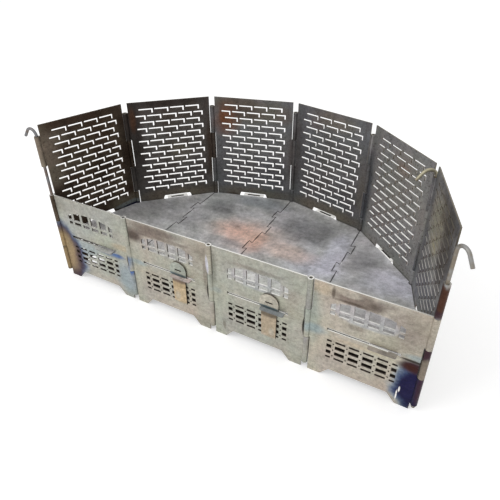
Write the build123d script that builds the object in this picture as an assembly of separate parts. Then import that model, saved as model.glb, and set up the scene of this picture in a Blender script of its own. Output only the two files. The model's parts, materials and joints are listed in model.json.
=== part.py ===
from build123d import *
import math
import os

# All sizes are millimetres. X runs along the straight front row, Y runs from front to rear, Z is up.
# The pit stands on Z = 0, and the middle of its footprint is the origin.

# Ring of panels
panel_width = 200.0  # from one hinge axis to the next
front_count = 4
rear_count = 6
sheet = 2.5  # every panel, plate and key is cut from it

# Hinges: knuckles rolled round a pin, stacked in equal zones
pin_diameter = 6.0
pin_play = 0.08  # radial running clearance
pin_recess = 2.0  # the pin's ends sit this deep in the knuckles
knuckle_foot = 15.0  # from the ground to the lowest knuckle
knuckle_gap = 0.8  # between knuckles that are stacked
leaf_gap = 1.2  # between a knuckle and the next panel's cut edge
curl_slit = 0.6  # where the rolled edge closes on its own sheet
curl_slit_angle = 34.0
front_zones = 3
rear_zones = 5
shoulder = 22.0  # the tall panels rise this far over their top knuckle

# Feet
foot_length = 31.0
foot_slant = 16.0
foot_cut_height = 19.0
foot_corner = 5.0

# Brick vents under the floor
vent_sill = 29.0  # above the foot cut
vent_length = 18.0
vent_end_length = 9.0
vent_full_height = 7.8
vent_end_height = 4.2
vent_joint = 6.6  # sheet left between openings
vent_columns = 4
vent_rows = 2
vent_dot = 3.0

# Floor
floor_rise = 20.7  # from the vents to the floor's underside
floor_wall_gap = 1.2
seam_gap = 1.4
corner_room = 1.5  # round the knuckles
slit_height = 6.0
slit_length = 126.0
slit_end_room = 6.0  # from the tongue's right end to the slit's end
tongue_reach = 12.0  # past the middle of the panel's sheet
tongue_corner = 2.0
front_cheek = 14.5  # joins a front tongue's lip, which hooks round its key from one side
rear_cheek = 9.0  # on each side of a rear tongue's slot
rear_slot_play = 0.3  # under the tongue
rear_slot_height = 11.5
rear_slot_side_room = 10.6  # lets the panel swing off its tongue
rear_slot_lean = 3.5
rear_slot_corner = 3.0
tab_depth = 9.0
tab_neck = 24.0
tab_head = 32.0
tab_pitch = 72.0
tab_start_middle = 82.0
tab_start_side = 98.0

# Grille in the front panels
grille_rise = 32.0  # from the slit to the grille's sill
grille_low_row = 7.6
grille_rail = 4.4
grille_side = 6.0  # straight part of the upper row's ends
grille_arch = 15.0
grille_arch_overhang = 2.0
front_rim = 29.5  # from the arch's top to the panel's edge

# Slots in brick bond in the rear panels
brick_length = 31.5
brick_gap = 4.0
brick_pitch = 15.3
brick_leg = 10.6
brick_cut = 3.2
brick_margin = 29.0
brick_overhang = 8.0
rear_rim = 16.0
rear_band = 16.5  # plain sheet over the tongue slot

# Locking keys
blade_width = 32.0
blade_taper = 1.5  # each side, over the blade's length
blade_length = 70.0
key_shoulder = 3.0
key_head_side = 14.0
key_fit = 0.3
key_standoff = 0.6  # from the panel's face
finger_slot_length = 15.0
finger_slot_height = 3.2
finger_slot_rise = 12.5

# Hooked pins
hook_radius = 13.5
hook_turn_angle = 142.0
hook_tail = 17.5
hook_left_angle = 178.0  # where each hook points, seen from above
hook_inner_angle = 213.0
hook_right_angle = -46.0
hook_right_drop = 10.0  # no knuckle lies under its bend, so it hangs lower

# Heights that follow from the ones above
knuckle_bore = pin_diameter / 2 + pin_play
knuckle_radius = knuckle_bore + sheet
leaf_edge = knuckle_radius + leaf_gap
vent_low = foot_cut_height + vent_sill
vent_top = (
    vent_low + 2 * vent_end_height + vent_rows * vent_full_height + (vent_rows + 1) * vent_joint
)
floor_bottom = vent_top + floor_rise
floor_top = floor_bottom + sheet
grille_low = floor_bottom + slit_height + grille_rise
grille_mid = grille_low + grille_low_row + grille_rail
grille_spring = grille_mid + grille_side
front_height = grille_spring + grille_arch + front_rim
knuckle_zone = (front_height - knuckle_foot) / front_zones
knuckle_top = knuckle_foot + rear_zones * knuckle_zone
rear_height = knuckle_top + shoulder
rear_slot_low = floor_bottom - rear_slot_play
key_slot_length = blade_width + 2 * key_fit
front_tongue = front_cheek + key_slot_length
front_tongue_start = (panel_width - slit_length) / 2 + slit_end_room
rear_tongue = key_slot_length + 2 * rear_cheek
rear_tongue_start = (panel_width - rear_tongue) / 2
rear_slot_length = rear_tongue + 2 * rear_slot_side_room
vent_span = (
    vent_columns * vent_length + 2 * vent_end_length + (vent_columns + 1) * vent_joint
)
first_front_zone = rear_zones - front_zones + 1


def rear_turn():
    """The equal turn, in degrees, that lets the rear chain span the straight front row."""
    low, high = 1.0, 359.0 / rear_count
    for _ in range(60):
        middle = (low + high) / 2
        span = math.sin(math.radians(rear_count * middle / 2)) / math.sin(math.radians(middle / 2))
        if span > front_count:
            low = middle
        else:
            high = middle
    return low


def rear_axes():
    """The hinge axes of the rear chain, from the left front corner to the right one."""
    turn = rear_turn()
    radius = panel_width / 2 / math.sin(math.radians(turn / 2))
    centre = -radius * math.cos(math.radians(rear_count * turn / 2))
    headings = [90 + (rear_count / 2 - i) * turn for i in range(rear_count + 1)]
    return [
        Vector(radius * math.cos(math.radians(a)), centre + radius * math.sin(math.radians(a)))
        for a in headings
    ]


def front_axes():
    """The hinge axes of the front row, from left to right."""
    left = -front_count * panel_width / 2
    return [Vector(left + i * panel_width, 0) for i in range(front_count + 1)]


def corner_turn():
    """How far, in degrees, an end panel of the rear chain swings out to lie in line with the front row."""
    rear = rear_axes()
    first = rear[1] - rear[0]
    return 180 - math.degrees(math.atan2(first.Y, first.X))


def along(start, end):
    """Places a panel that was drawn along X from the origin, with its outer face towards +Y."""
    heading = math.degrees(math.atan2(end.Y - start.Y, end.X - start.X))
    return Pos(start.X, start.Y, 0) * Rot(0, 0, heading)


def zone_span(zone):
    """The lowest and highest point of a knuckle. Zone 1 is the top one of the tall panels."""
    top = knuckle_top - (zone - 1) * knuckle_zone
    return top - knuckle_zone + knuckle_gap / 2, top - knuckle_gap / 2


def start_zones(first):
    """The zones that hold the knuckles at a panel's start, from the first zone of its height down."""
    return [zone for zone in range(first, rear_zones + 1) if zone % 2 == 1]


def end_zones(first):
    """The zones between those, which hold the knuckles at a panel's end."""
    return [zone for zone in range(first, rear_zones + 1) if zone % 2 == 0]


def outline(points, radii=None):
    """A closed wire in the upright plane through points given as (x, z)."""
    spots = [(x, 0, z) for x, z in points]
    if radii is None:
        return Polyline(*spots, close=True)
    return FilletPolyline(*spots, radius=radii, close=True)


def box_hole(left, right, low, high):
    return outline([(left, low), (right, low), (right, high), (left, high)])


def round_hole(x, z, diameter):
    return Wire.make_circle(diameter / 2, Plane((x, 0, z), x_dir=(1, 0, 0), z_dir=(0, -1, 0)))


def upright_sheet(edge, holes):
    """A sheet standing in the XZ plane, with its middle at Y = 0."""
    return extrude(Face(edge, holes), sheet / 2, both=True)


def panel_edge(height):
    """A panel's outline: two feet with a slanted cut between them, and edges clear of the knuckles."""
    left, right = leaf_edge, panel_width - leaf_edge
    foot_in, foot_up = foot_length, foot_length + foot_slant
    points = [
        (left, 0),
        (foot_in, 0),
        (foot_up, foot_cut_height),
        (panel_width - foot_up, foot_cut_height),
        (panel_width - foot_in, 0),
        (right, 0),
        (right, height),
        (left, height),
    ]
    radii = [0, foot_corner, foot_corner, foot_corner, foot_corner, 0, 0, 0]
    return outline(points, radii)


def knuckle(axis_x, side, zone):
    """A rolled knuckle with the strip that joins it to its sheet, which lies towards side."""
    low, high = zone_span(zone)
    strip_from = knuckle_bore + sheet / 2
    strip_length = leaf_edge - strip_from
    slit_heading = -curl_slit_angle if side > 0 else 180 + curl_slit_angle
    section = Circle(knuckle_radius)
    section += Pos(side * (strip_from + strip_length / 2), 0) * Rectangle(strip_length, sheet)
    section -= Circle(knuckle_bore)
    section -= (
        Rot(0, 0, slit_heading) * Pos(knuckle_bore + sheet / 2, 0) * Rectangle(2 * sheet, curl_slit)
    )
    return Pos(axis_x, 0, low) * extrude(section, high - low)


def with_knuckles(plate, first_zone):
    """Joins knuckles to both upright edges of a panel."""
    for zone in start_zones(first_zone):
        plate += knuckle(0, 1, zone)
    for zone in end_zones(first_zone):
        plate += knuckle(panel_width, -1, zone)
    return plate


def columns():
    """The left and right edges of each column of vents and of the grille."""
    widths = [vent_end_length] + [vent_length] * vent_columns + [vent_end_length]
    left = (panel_width - vent_span) / 2
    spans = []
    for width in widths:
        spans.append((left, left + width))
        left += width + vent_joint
    return spans


def vent_levels():
    """The lowest and highest edge of each row of vents."""
    heights = [vent_end_height] + [vent_full_height] * vent_rows + [vent_end_height]
    low = vent_low
    spans = []
    for height in heights:
        spans.append((low, low + height))
        low += height + vent_joint
    return spans


def vent_holes():
    """The brick vents, and a small round hole in each crossing of the sheet between them."""
    holes = []
    for left, right in columns():
        for low, high in vent_levels():
            holes.append(box_hole(left, right, low, high))
    for _, right in columns()[:-1]:
        for _, high in vent_levels()[:-1]:
            holes.append(round_hole(right + vent_joint / 2, high + vent_joint / 2, vent_dot))
    return holes


def arch_height(x):
    """The height of the grille's arched top over a place along the panel."""
    reach = vent_span / 2 + grille_arch_overhang
    share = (x - panel_width / 2) / reach
    return grille_spring + grille_arch * math.sqrt(1 - share * share)


def grille_holes():
    """The grille: a low row of cells, a rail, and a tall row under the arch."""
    holes = []
    for left, right in columns():
        holes.append(box_hole(left, right, grille_low, grille_low + grille_low_row))
        top = [(right, arch_height(right)), (left, arch_height(left))]
        holes.append(outline([(left, grille_mid), (right, grille_mid)] + top))
    return holes


def floor_slit():
    """The long slit at floor level that a front tongue comes out of."""
    left = (panel_width - slit_length) / 2
    return box_hole(left, left + slit_length, floor_bottom, floor_bottom + slit_height)


def front_panel():
    """A low panel. Along X it runs from its right end to its left one, seen from outside."""
    holes = vent_holes() + grille_holes() + [floor_slit()]
    plate = upright_sheet(panel_edge(front_height), holes)
    return with_knuckles(plate, first_front_zone)


def brick_slot(left, right, top):
    """A slot like a brick's top joint with the upright joint at its right end."""
    low = top - brick_cut
    inner = right - brick_cut
    foot = top - brick_leg
    return outline(
        [(left, low), (inner, low), (inner, foot), (right, foot), (right, top), (left, top)]
    )


def brick_tops():
    """The top of each row of slots, down from the rim to the plain band over the floor."""
    lowest = rear_slot_low + rear_slot_height + rear_band
    tops = []
    top = rear_height - rear_rim
    while top - brick_leg > lowest:
        tops.append(top)
        top -= brick_pitch
    return tops


def brick_rows():
    """The slots in brick bond: every other row is shifted by half a brick and has longer ends."""
    pitch = brick_length + brick_gap
    count = int((panel_width - 2 * brick_margin + brick_gap) / pitch)
    start = (panel_width - count * pitch + brick_gap) / 2
    end = start + count * pitch - brick_gap
    holes = []
    for row, top in enumerate(brick_tops()):
        if row % 2 == 0:
            for i in range(count):
                left = start + i * pitch
                holes.append(brick_slot(left, left + brick_length, top))
            continue
        shifted = start + pitch / 2
        holes.append(brick_slot(start - brick_overhang, shifted - brick_gap, top))
        for i in range(count - 1):
            left = shifted + i * pitch
            holes.append(brick_slot(left, left + brick_length, top))
        last = shifted + (count - 1) * pitch
        holes.append(brick_slot(last, end + brick_overhang, top))
    return holes


def tongue_slot():
    """The wide slot over the floor that a rear tongue comes out of, a little narrower at its top."""
    middle = panel_width / 2
    half_low = rear_slot_length / 2
    half_top = half_low - rear_slot_lean
    high = rear_slot_low + rear_slot_height
    points = [
        (middle - half_low, rear_slot_low),
        (middle + half_low, rear_slot_low),
        (middle + half_top, high),
        (middle - half_top, high),
    ]
    return outline(points, [0, 0, rear_slot_corner, rear_slot_corner])


def rear_panel():
    """A tall panel. Along X it runs from left to right, seen from inside."""
    holes = vent_holes() + brick_rows() + [tongue_slot()]
    plate = upright_sheet(panel_edge(rear_height), holes)
    return with_knuckles(plate, 1)


def straight_pin(first_zone, last_zone):
    """A hinge pin through a run of zones, a little short of the knuckles' ends."""
    low = zone_span(last_zone)[0] + pin_recess
    high = zone_span(first_zone)[1] - pin_recess
    return Pos(0, 0, low) * extrude(Circle(pin_diameter / 2), high - low)


def hooked_pin():
    """A long pin whose top is bent over into a hook that points along +X."""
    low = zone_span(rear_zones)[0] + pin_recess
    shank = Line((0, low), (0, knuckle_top))
    bend = JernArc(shank @ 1, shank % 1, hook_radius, -hook_turn_angle)
    tail = Line(bend @ 1, (bend @ 1) + (bend % 1) * hook_tail)
    path = Wire([shank, bend, tail])
    section = Plane(shank @ 0, z_dir=shank % 0) * Circle(pin_diameter / 2)
    return Rot(90, 0, 0) * sweep(section, path=path)


def key_plate():
    """A flat locking key: round head with a finger slot, shoulders, and a blade that narrows."""
    half = blade_width / 2
    wide = half + key_shoulder
    foot = floor_top - blade_length
    side_top = floor_top + key_head_side
    edge = Wire(
        [
            Line((half, 0, floor_top), (wide, 0, floor_top)),
            Line((wide, 0, floor_top), (wide, 0, side_top)),
            ThreePointArc((wide, 0, side_top), (0, 0, side_top + wide), (-wide, 0, side_top)),
            Line((-wide, 0, side_top), (-wide, 0, floor_top)),
            Line((-wide, 0, floor_top), (-half, 0, floor_top)),
            Line((-half, 0, floor_top), (-half + blade_taper, 0, foot)),
            Line((-half + blade_taper, 0, foot), (half - blade_taper, 0, foot)),
            Line((half - blade_taper, 0, foot), (half, 0, floor_top)),
        ]
    )
    slot_low = floor_top + finger_slot_rise
    slot_half = finger_slot_length / 2
    slot = box_hole(-slot_half, slot_half, slot_low, slot_low + finger_slot_height)
    return upright_sheet(edge, [slot])


def front_key():
    """A key in a front panel's frame, just outside its face."""
    middle = front_tongue_start + front_cheek + key_slot_length / 2
    out = sheet / 2 + key_standoff + sheet / 2
    return Pos(middle, out, 0) * key_plate()


def tongue(start, end, slot_start, slot_end):
    """A floor tongue in a panel's frame, seen from above, and the slot that takes a key."""
    root = sheet / 2 + floor_wall_gap + sheet
    shape = make_face(
        Polyline(
            (start, -root),
            (start, tongue_reach - tongue_corner),
            (start + tongue_corner, tongue_reach),
            (end - tongue_corner, tongue_reach),
            (end, tongue_reach - tongue_corner),
            (end, -root),
            close=True,
        )
    )
    near = sheet / 2 + key_standoff - key_fit
    depth = key_fit + sheet + key_fit
    slot = Pos(slot_start, near) * Rectangle(slot_end - slot_start, depth, align=Align.MIN)
    return shape, slot


def front_tongue_shape():
    """A front tongue: its slot is open at one end, which leaves a lip that hooks round the key."""
    start, end = front_tongue_start, front_tongue_start + front_tongue
    return tongue(start, end, start + front_cheek, end + tongue_corner)


def rear_tongue_shape():
    """A rear tongue, with a closed slot in its middle."""
    start, end = rear_tongue_start, rear_tongue_start + rear_tongue
    return tongue(start, end, start + rear_cheek, end - rear_cheek)


def seam(front_end, rear_end, first_tab, first_side):
    """A floor seam, seen from above: a line with dovetail tabs to its right and left by turns."""
    reach = rear_end - front_end
    ahead = reach.normalized()
    right = Vector(ahead.Y, -ahead.X)
    spots = [front_end - ahead * panel_width]
    place, side = first_tab, first_side
    while place + tab_head < reach.length:
        for offset, depth in (
            (-tab_neck / 2, 0),
            (-tab_head / 2, side * tab_depth),
            (tab_head / 2, side * tab_depth),
            (tab_neck / 2, 0),
        ):
            spots.append(front_end + ahead * (place + offset) + right * depth)
        place += tab_pitch
        side = -side
    spots.append(rear_end + ahead * panel_width)
    return spots


def floor_seams():
    """The seams between the floor plates, from left to right."""
    front, rear = front_axes(), rear_axes()
    middle = front_count // 2
    seams = []
    for i in range(1, front_count):
        rear_end = rear[i + (rear_count - front_count) // 2]
        first_tab = tab_start_middle if i == middle else tab_start_side
        first_side = -1 if i < middle else 1
        seams.append(seam(front[i], rear_end, first_tab, first_side))
    return seams


def floor_shape():
    """The whole floor inside the ring, seen from above, with its corners clear of the knuckles."""
    axes = rear_axes()
    ring = make_face(Polyline(*axes, close=True))
    inside = offset(ring, -(sheet / 2 + floor_wall_gap), kind=Kind.INTERSECTION)
    for axis in axes + front_axes()[1:-1]:
        inside -= Pos(axis.X, axis.Y) * Circle(knuckle_radius + corner_room)
    return inside


def floor_plates():
    """The floor plates, from left to right, each with tongues into the panels that it meets."""
    front, rear = front_axes(), rear_axes()
    whole = floor_shape()
    for line in floor_seams():
        whole -= trace(Polyline(*line), seam_gap)
    extra = (rear_count - front_count) // 2
    plates = []
    for i, flat in enumerate(whole.faces().sort_by(Axis.X)):
        first = 0 if i == 0 else i + extra
        last = rear_count if i == front_count - 1 else i + 1 + extra
        places = [(along(front[i + 1], front[i]), front_tongue_shape())]
        for j in range(first, last):
            places.append((along(rear[j], rear[j + 1]), rear_tongue_shape()))
        flat = Sketch() + flat
        for place, (shape, slot) in places:
            flat = flat + place * shape - place * slot
        plates.append(Pos(0, 0, floor_bottom) * extrude(flat, sheet))
    return plates


def rear_names():
    return [f"rear_panel_{i + 1}" for i in range(rear_count)]


def build():
    """Every piece in its place, by name."""
    front, rear = front_axes(), rear_axes()
    pieces = {}
    low_panel, tall_panel = front_panel(), rear_panel()
    for i in range(front_count):
        pieces[f"front_panel_{i + 1}"] = along(front[i + 1], front[i]) * low_panel
    for i, name in enumerate(rear_names()):
        pieces[name] = along(rear[i], rear[i + 1]) * tall_panel
    for i, plate in enumerate(floor_plates()):
        pieces[f"floor_plate_{i + 1}"] = plate
    short_pin = straight_pin(first_front_zone, rear_zones)
    for i in range(1, front_count):
        pieces[f"front_pin_{i}"] = Pos(front[i].X, front[i].Y, 0) * short_pin

    hooks = {
        0: ("hook_pin_left", hook_left_angle, 0),
        rear_count - 1: ("hook_pin_inner", hook_inner_angle, 0),
        rear_count: ("hook_pin_right", hook_right_angle, hook_right_drop),
    }
    open_axis = rear_count // 2
    for i, axis in enumerate(rear):
        place = Pos(axis.X, axis.Y, 0)
        if i in hooks:
            name, angle, drop = hooks[i]
            pieces[name] = place * Pos(0, 0, -drop) * Rot(0, 0, angle) * hooked_pin()
        elif i == open_axis:
            stubs = Part() + [straight_pin(zone, zone) for zone in start_zones(1)]
            pieces[f"rear_pin_{i}"] = place * stubs
        else:
            pieces[f"rear_pin_{i}"] = place * straight_pin(1, rear_zones)
    for i in range(1, front_count - 1):
        pieces[f"locking_key_{i}"] = along(front[i + 1], front[i]) * front_key()
    return pieces


def footprint(pieces):
    """The lowest and highest corner of all the pieces together."""
    boxes = [piece.bounding_box() for piece in pieces.values()]
    low = Vector(*[min(tuple(box.min)[i] for box in boxes) for i in range(3)])
    high = Vector(*[max(tuple(box.max)[i] for box in boxes) for i in range(3)])
    return low, high


def main():
    """Sets the pit over the origin, writes each piece and prints the hinge axes."""
    pieces = build()
    low, high = footprint(pieces)
    centre = (low + high) / 2
    stand = Pos(-centre.X, -centre.Y, 0)
    os.makedirs("parts", exist_ok=True)
    for name, piece in pieces.items():
        export_step(stand * piece, f"parts/{name}.step")
    print("size", high - low, "lowest", low.Z)
    print("rear turn", round(rear_turn(), 4), "corner turn", round(corner_turn(), 4))
    print("front", front_height, "rear", rear_height, "knuckles end", knuckle_top, "floor", floor_top)
    for label, axes in (("front axis", front_axes()), ("rear axis", rear_axes())):
        for i, axis in enumerate(axes):
            print(label, i, round(axis.X - centre.X, 3), round(axis.Y - centre.Y, 3))


if __name__ == "__main__":
    main()
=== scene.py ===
import json
import logging
import math
from collections.abc import Callable
from dataclasses import asdict, dataclass, replace
from enum import Enum
from typing import Any

import bpy
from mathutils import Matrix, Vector


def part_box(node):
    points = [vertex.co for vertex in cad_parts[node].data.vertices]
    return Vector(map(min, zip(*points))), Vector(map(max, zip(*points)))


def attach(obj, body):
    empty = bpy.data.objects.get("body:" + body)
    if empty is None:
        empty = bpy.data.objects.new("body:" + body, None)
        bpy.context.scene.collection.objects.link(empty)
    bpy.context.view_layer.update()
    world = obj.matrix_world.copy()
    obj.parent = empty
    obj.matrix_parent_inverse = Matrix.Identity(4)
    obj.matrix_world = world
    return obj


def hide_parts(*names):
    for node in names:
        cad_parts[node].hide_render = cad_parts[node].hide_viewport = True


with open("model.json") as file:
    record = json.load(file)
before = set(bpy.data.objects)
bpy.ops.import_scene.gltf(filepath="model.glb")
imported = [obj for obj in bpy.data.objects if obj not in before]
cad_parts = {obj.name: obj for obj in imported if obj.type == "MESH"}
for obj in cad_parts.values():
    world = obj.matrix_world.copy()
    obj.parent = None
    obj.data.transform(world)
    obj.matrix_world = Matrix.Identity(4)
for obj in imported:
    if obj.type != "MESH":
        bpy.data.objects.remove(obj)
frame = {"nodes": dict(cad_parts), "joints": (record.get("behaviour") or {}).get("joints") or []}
log = logging.getLogger("fire_pit")

MM = 0.001  # in metres; the sizes of the pit's pieces are in millimetres and degrees
FRONT_COUNT = 4
REAR_COUNT = 6

Triple = tuple[float, float, float]


def all_axes(number: float) -> Triple:
    """A vector that is one number three times."""
    return (number, number, number)


class Hue(Enum):
    """The colours of the pit and of its ground, as linear red, green and blue."""

    PALE_STEEL = (0.43, 0.42, 0.355)
    GREEN_STEEL = (0.36, 0.385, 0.335)
    WARM_STEEL = (0.42, 0.37, 0.30)
    GREY_STEEL = (0.30, 0.295, 0.285)
    # bare steel, and the painted highlight on cut faces that face up, on the floor's tongues and on
    # its front strip
    BARE_STEEL_AND_HIGHLIGHT = (0.95, 0.94, 0.90)
    DULL_EDGE = (0.40, 0.38, 0.35)
    CREAM = (0.50, 0.46, 0.385)
    STRAW = (0.56, 0.42, 0.26)
    BRONZE = (0.31, 0.225, 0.125)
    RED_BRONZE = (0.044, 0.016, 0.013)
    PURPLE = (0.052, 0.026, 0.034)
    DEEP_BLUE = (0.014, 0.013, 0.052)
    BLUE = (0.08, 0.13, 0.25)
    TEAL = (0.075, 0.115, 0.135)
    PALE_BLUE = (0.30, 0.37, 0.40)
    # soot, and the painted shade in hinge and key gaps, on cut faces, over the floor's holes and
    # behind the front row
    BLACK_SOOT_AND_SHADE = (0.020, 0.015, 0.012)
    # soot, and the painted shade on the low panels' cut faces that don't face up
    BROWN_SOOT_AND_SHADE = (0.058, 0.038, 0.026)
    GREY_SOOT = (0.15, 0.145, 0.14)
    OLIVE = (0.15, 0.13, 0.095)
    # smoke stains, and the painted shade on the tall panels' and the keys' cut faces
    SMOKE = (0.17, 0.13, 0.11)
    RUST = (0.18, 0.066, 0.020)
    ROSE_RUST = (0.76, 0.49, 0.40)
    ASH = (0.60, 0.59, 0.61)
    SLATE = (0.20, 0.205, 0.215)
    SHARP_BLUE = (0.065, 0.13, 0.31)
    UMBER = (0.125, 0.098, 0.070)
    RUST_BROWN = (0.070, 0.034, 0.024)
    MID_GREY = (0.40, 0.395, 0.38)
    LIGHT_GREY = (0.42, 0.415, 0.40)
    DRY_OLIVE = (0.40, 0.37, 0.26)
    PALE_OLIVE = (0.70, 0.62, 0.44)
    FLOOR_GREY = (0.50, 0.50, 0.49)
    FLOOR_DARK = (0.32, 0.32, 0.325)
    FLOOR_BLUE = (0.29, 0.315, 0.335)
    DUSTY_ROSE = (0.66, 0.52, 0.46)
    KEY_TAN = (0.44, 0.35, 0.25)
    DARK_SLATE = (0.085, 0.095, 0.115)
    TAN = (0.23, 0.195, 0.15)
    LILAC = (0.66, 0.66, 0.74)
    PALE_LILAC = (0.46, 0.46, 0.475)
    PALE_GROUND = (0.82, 0.82, 0.82)
    # painted shade on the ground under the pit
    PAINTED_SHADE_GROUND = (0.10, 0.083, 0.068)


def operator(operation: str, turned: bool = False) -> Callable[["Value", Any], "Value"]:
    """Makes the method of an operator between a value and another value or number.

    Args:
        operation: What its Math node works out.
        turned: Whether the value is the second of the two.

    Returns:
        The method.
    """

    def method(self: "Value", other: "Value | float") -> "Value":
        """The Math node's result."""
        return self.tree.maths(operation, *((other, self) if turned else (self, other)))

    return method


class Value:
    """A node socket that stands in Python expressions."""

    __add__ = __radd__ = operator("ADD")
    __sub__, __rsub__ = operator("SUBTRACT"), operator("SUBTRACT", turned=True)
    __mul__ = __rmul__ = operator("MULTIPLY")
    __truediv__, __rtruediv__ = operator("DIVIDE"), operator("DIVIDE", turned=True)
    __mod__, __rmod__ = operator("MODULO"), operator("MODULO", turned=True)
    __gt__, __lt__ = operator("GREATER_THAN"), operator("LESS_THAN")

    def __init__(self, tree: "Tree", socket: bpy.types.NodeSocket) -> None:
        """Wraps an output socket of one of a tree's nodes."""
        self.tree = tree
        self.socket = socket

    def __abs__(self) -> "Value":
        """The size without the sign."""
        return self.tree.maths("ABSOLUTE", self)

    def __neg__(self) -> "Value":
        """The value with its sign turned."""
        return self * -1


Coat = tuple[Value, Value, Value | float]  # colour, roughness and metallic value


class Tree:
    """A node tree and the few ways in which nodes are added to it."""

    def __init__(self, tree: bpy.types.NodeTree) -> None:
        """Takes the tree that nodes go into."""
        self.tree = tree

    def node(self, kind: str, sockets: dict[Any, Any], out: Any = 0, **settings: Any) -> Value:
        """Adds a node.

        Args:
            kind: The node's type.
            sockets: Values or links, by socket name or number. A list links each of its values.
            out: The output socket to return.
            settings: Its own settings, such as an operation, which are set before its sockets.

        Returns:
            The wrapped output socket.
        """
        made = self.tree.nodes.new(kind)
        for name, value in settings.items():
            if name == "items":
                while len(made.index_switch_items) < value:
                    made.index_switch_items.new()
            else:
                setattr(made, name, value)
        for key, value in sockets.items():
            for part in value if isinstance(value, list) else [value]:
                if isinstance(part, Value):
                    self.tree.links.new(part.socket, made.inputs[key])
                else:
                    made.inputs[key].default_value = part
        return Value(self, made.outputs[out])

    def end(self, kind: str, socket: Any, value: Value) -> None:
        """Adds the tree's output node.

        Args:
            kind: The node's type.
            socket: Which of its sockets is linked.
            value: What it is linked to.
        """
        output = self.tree.nodes.new(kind)
        self.tree.links.new(value.socket, output.inputs[socket])

    def maths(self, operation: str, *values: Value | float) -> Value:
        """A Math node's result."""
        return self.node("ShaderNodeMath", dict(enumerate(values)), operation=operation)

    def vector(self, operation: str, *values: Any, out: str = "Vector") -> Value:
        """A Vector Math node's result."""
        sockets = dict(enumerate(values))
        return self.node("ShaderNodeVectorMath", sockets, out, operation=operation)

    def point(self, x: Value | float, y: Value | float, z: Value | float) -> Value:
        """A vector of three numbers."""
        return self.node("ShaderNodeCombineXYZ", {"X": x, "Y": y, "Z": z})

    def part(self, vector: Value, axis: str) -> Value:
        """One number of a vector: its X, Y or Z."""
        return self.node("ShaderNodeSeparateXYZ", {"Vector": vector}, axis)


@dataclass(frozen=True)
class Station:
    """Where a piece's own axes lie, in metres and radians: X along it, Y across, Z up."""

    x: float
    y: float
    heading: float = 0.0
    z: float = 0.0

    def beyond(self, reach: float) -> "Station":
        """The station at the far end of a piece, facing back.

        Args:
            reach: How long the piece is, in metres.

        Returns:
            The turned station.
        """
        x = self.x + reach * math.cos(self.heading)
        y = self.y + reach * math.sin(self.heading)
        return Station(x, y, self.heading + math.pi)


@dataclass(frozen=True)
class Patch:
    """A soft-edged stain or patch of painted light or shade, in millimetres from the lower left
    corner of a sheet's near side.
    """

    x: float
    z: float
    wide: float
    high: float
    hue: Hue
    strength: float = 1.0
    soft: float = 0.7


def patches(*rows: tuple[Any, ...]) -> tuple[Patch, ...]:
    """Stains from rows of their values."""
    return tuple(Patch(*row) for row in rows)


@dataclass(frozen=True)
class EdgeLook:
    """A sheet's cut faces in painted light and shade: those that face up, the others, and a darker
    hue of soot past some height, with painted shade in the low panels' vents.
    """

    upward: Hue
    aside: Hue
    soot_and_shade: Hue = Hue.GREY_SOOT
    clean_below: float = 900.0
    sooty_above: float = 901.0


@dataclass(frozen=True)
class SheetLook:
    """One side of a sheet: its two plain hues, its stains and painted light and shade in the order
    they came, its finish.
    """

    hue: Hue
    other: Hue
    stains: tuple[Patch, ...] = ()
    rough: float = 0.42
    metal: float = 0.6
    cloudy: float = 0.5
    grime: float = 0.25
    drift: float = 0.24


@dataclass(frozen=True)
class Noise:
    """A noise: its waves for each metre, its finer layers, and how strong those are."""

    scale: float
    detail: float = 3.0
    rough: float = 0.55


@dataclass(frozen=True)
class Texture:
    """How much mottle, blots, streaks and grain vary a hue, and how the streaks are stretched."""

    shares: tuple[float, float, float, float]
    stretch: Triple


class Paint(Tree):
    """A material's node tree and the mixes that its finish is made of."""

    MIX_SOCKETS = (0, 6, 7)  # a Mix node's share and its two colours
    MIX_RESULT = 2
    NOISE_MIDDLE = 0.5

    def __init__(self, name: str) -> None:
        """Starts an empty material.

        Args:
            name: The material's name.
        """
        self.material = bpy.data.materials.new(name)
        self.material.use_nodes = True
        super().__init__(self.material.node_tree)
        self.tree.nodes.clear()

    def mix(self, share: Value | float, first: Hue | Value, second: Hue | Value) -> Value:
        """Mixes two colours.

        Args:
            share: How much of the second, from 0 to 1.
            first: A hue or a link.
            second: A hue or a link.

        Returns:
            The mixed colour.
        """
        pair = [(*hue.value, 1) if isinstance(hue, Hue) else hue for hue in (first, second)]
        sockets = dict(zip(self.MIX_SOCKETS, (share, *pair)))
        return self.node("ShaderNodeMix", sockets, self.MIX_RESULT, data_type="RGBA")

    def smooth(self, value: Value, low: float, high: float) -> Value:
        """A soft step, which is 0 up to the low value and 1 from the high one on."""
        sockets = {"Value": value, "From Min": low, "From Max": high}
        return self.node("ShaderNodeMapRange", sockets, interpolation_type="SMOOTHSTEP")

    def noise(self, place: Value, kind: Noise, out: Any = 0) -> Value:
        """A noise around its middle, as a number, or as a colour from the output Color."""
        sockets = {"Scale": kind.scale, "Detail": kind.detail, "Roughness": kind.rough}
        return self.node("ShaderNodeTexNoise", {"Vector": place, **sockets}, out)

    def show(self, shader: Value) -> bpy.types.Material:
        """Ends the material in a shader.

        Args:
            shader: The shader.

        Returns:
            The material.
        """
        self.end("ShaderNodeOutputMaterial", "Surface", shader)
        return self.material


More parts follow.
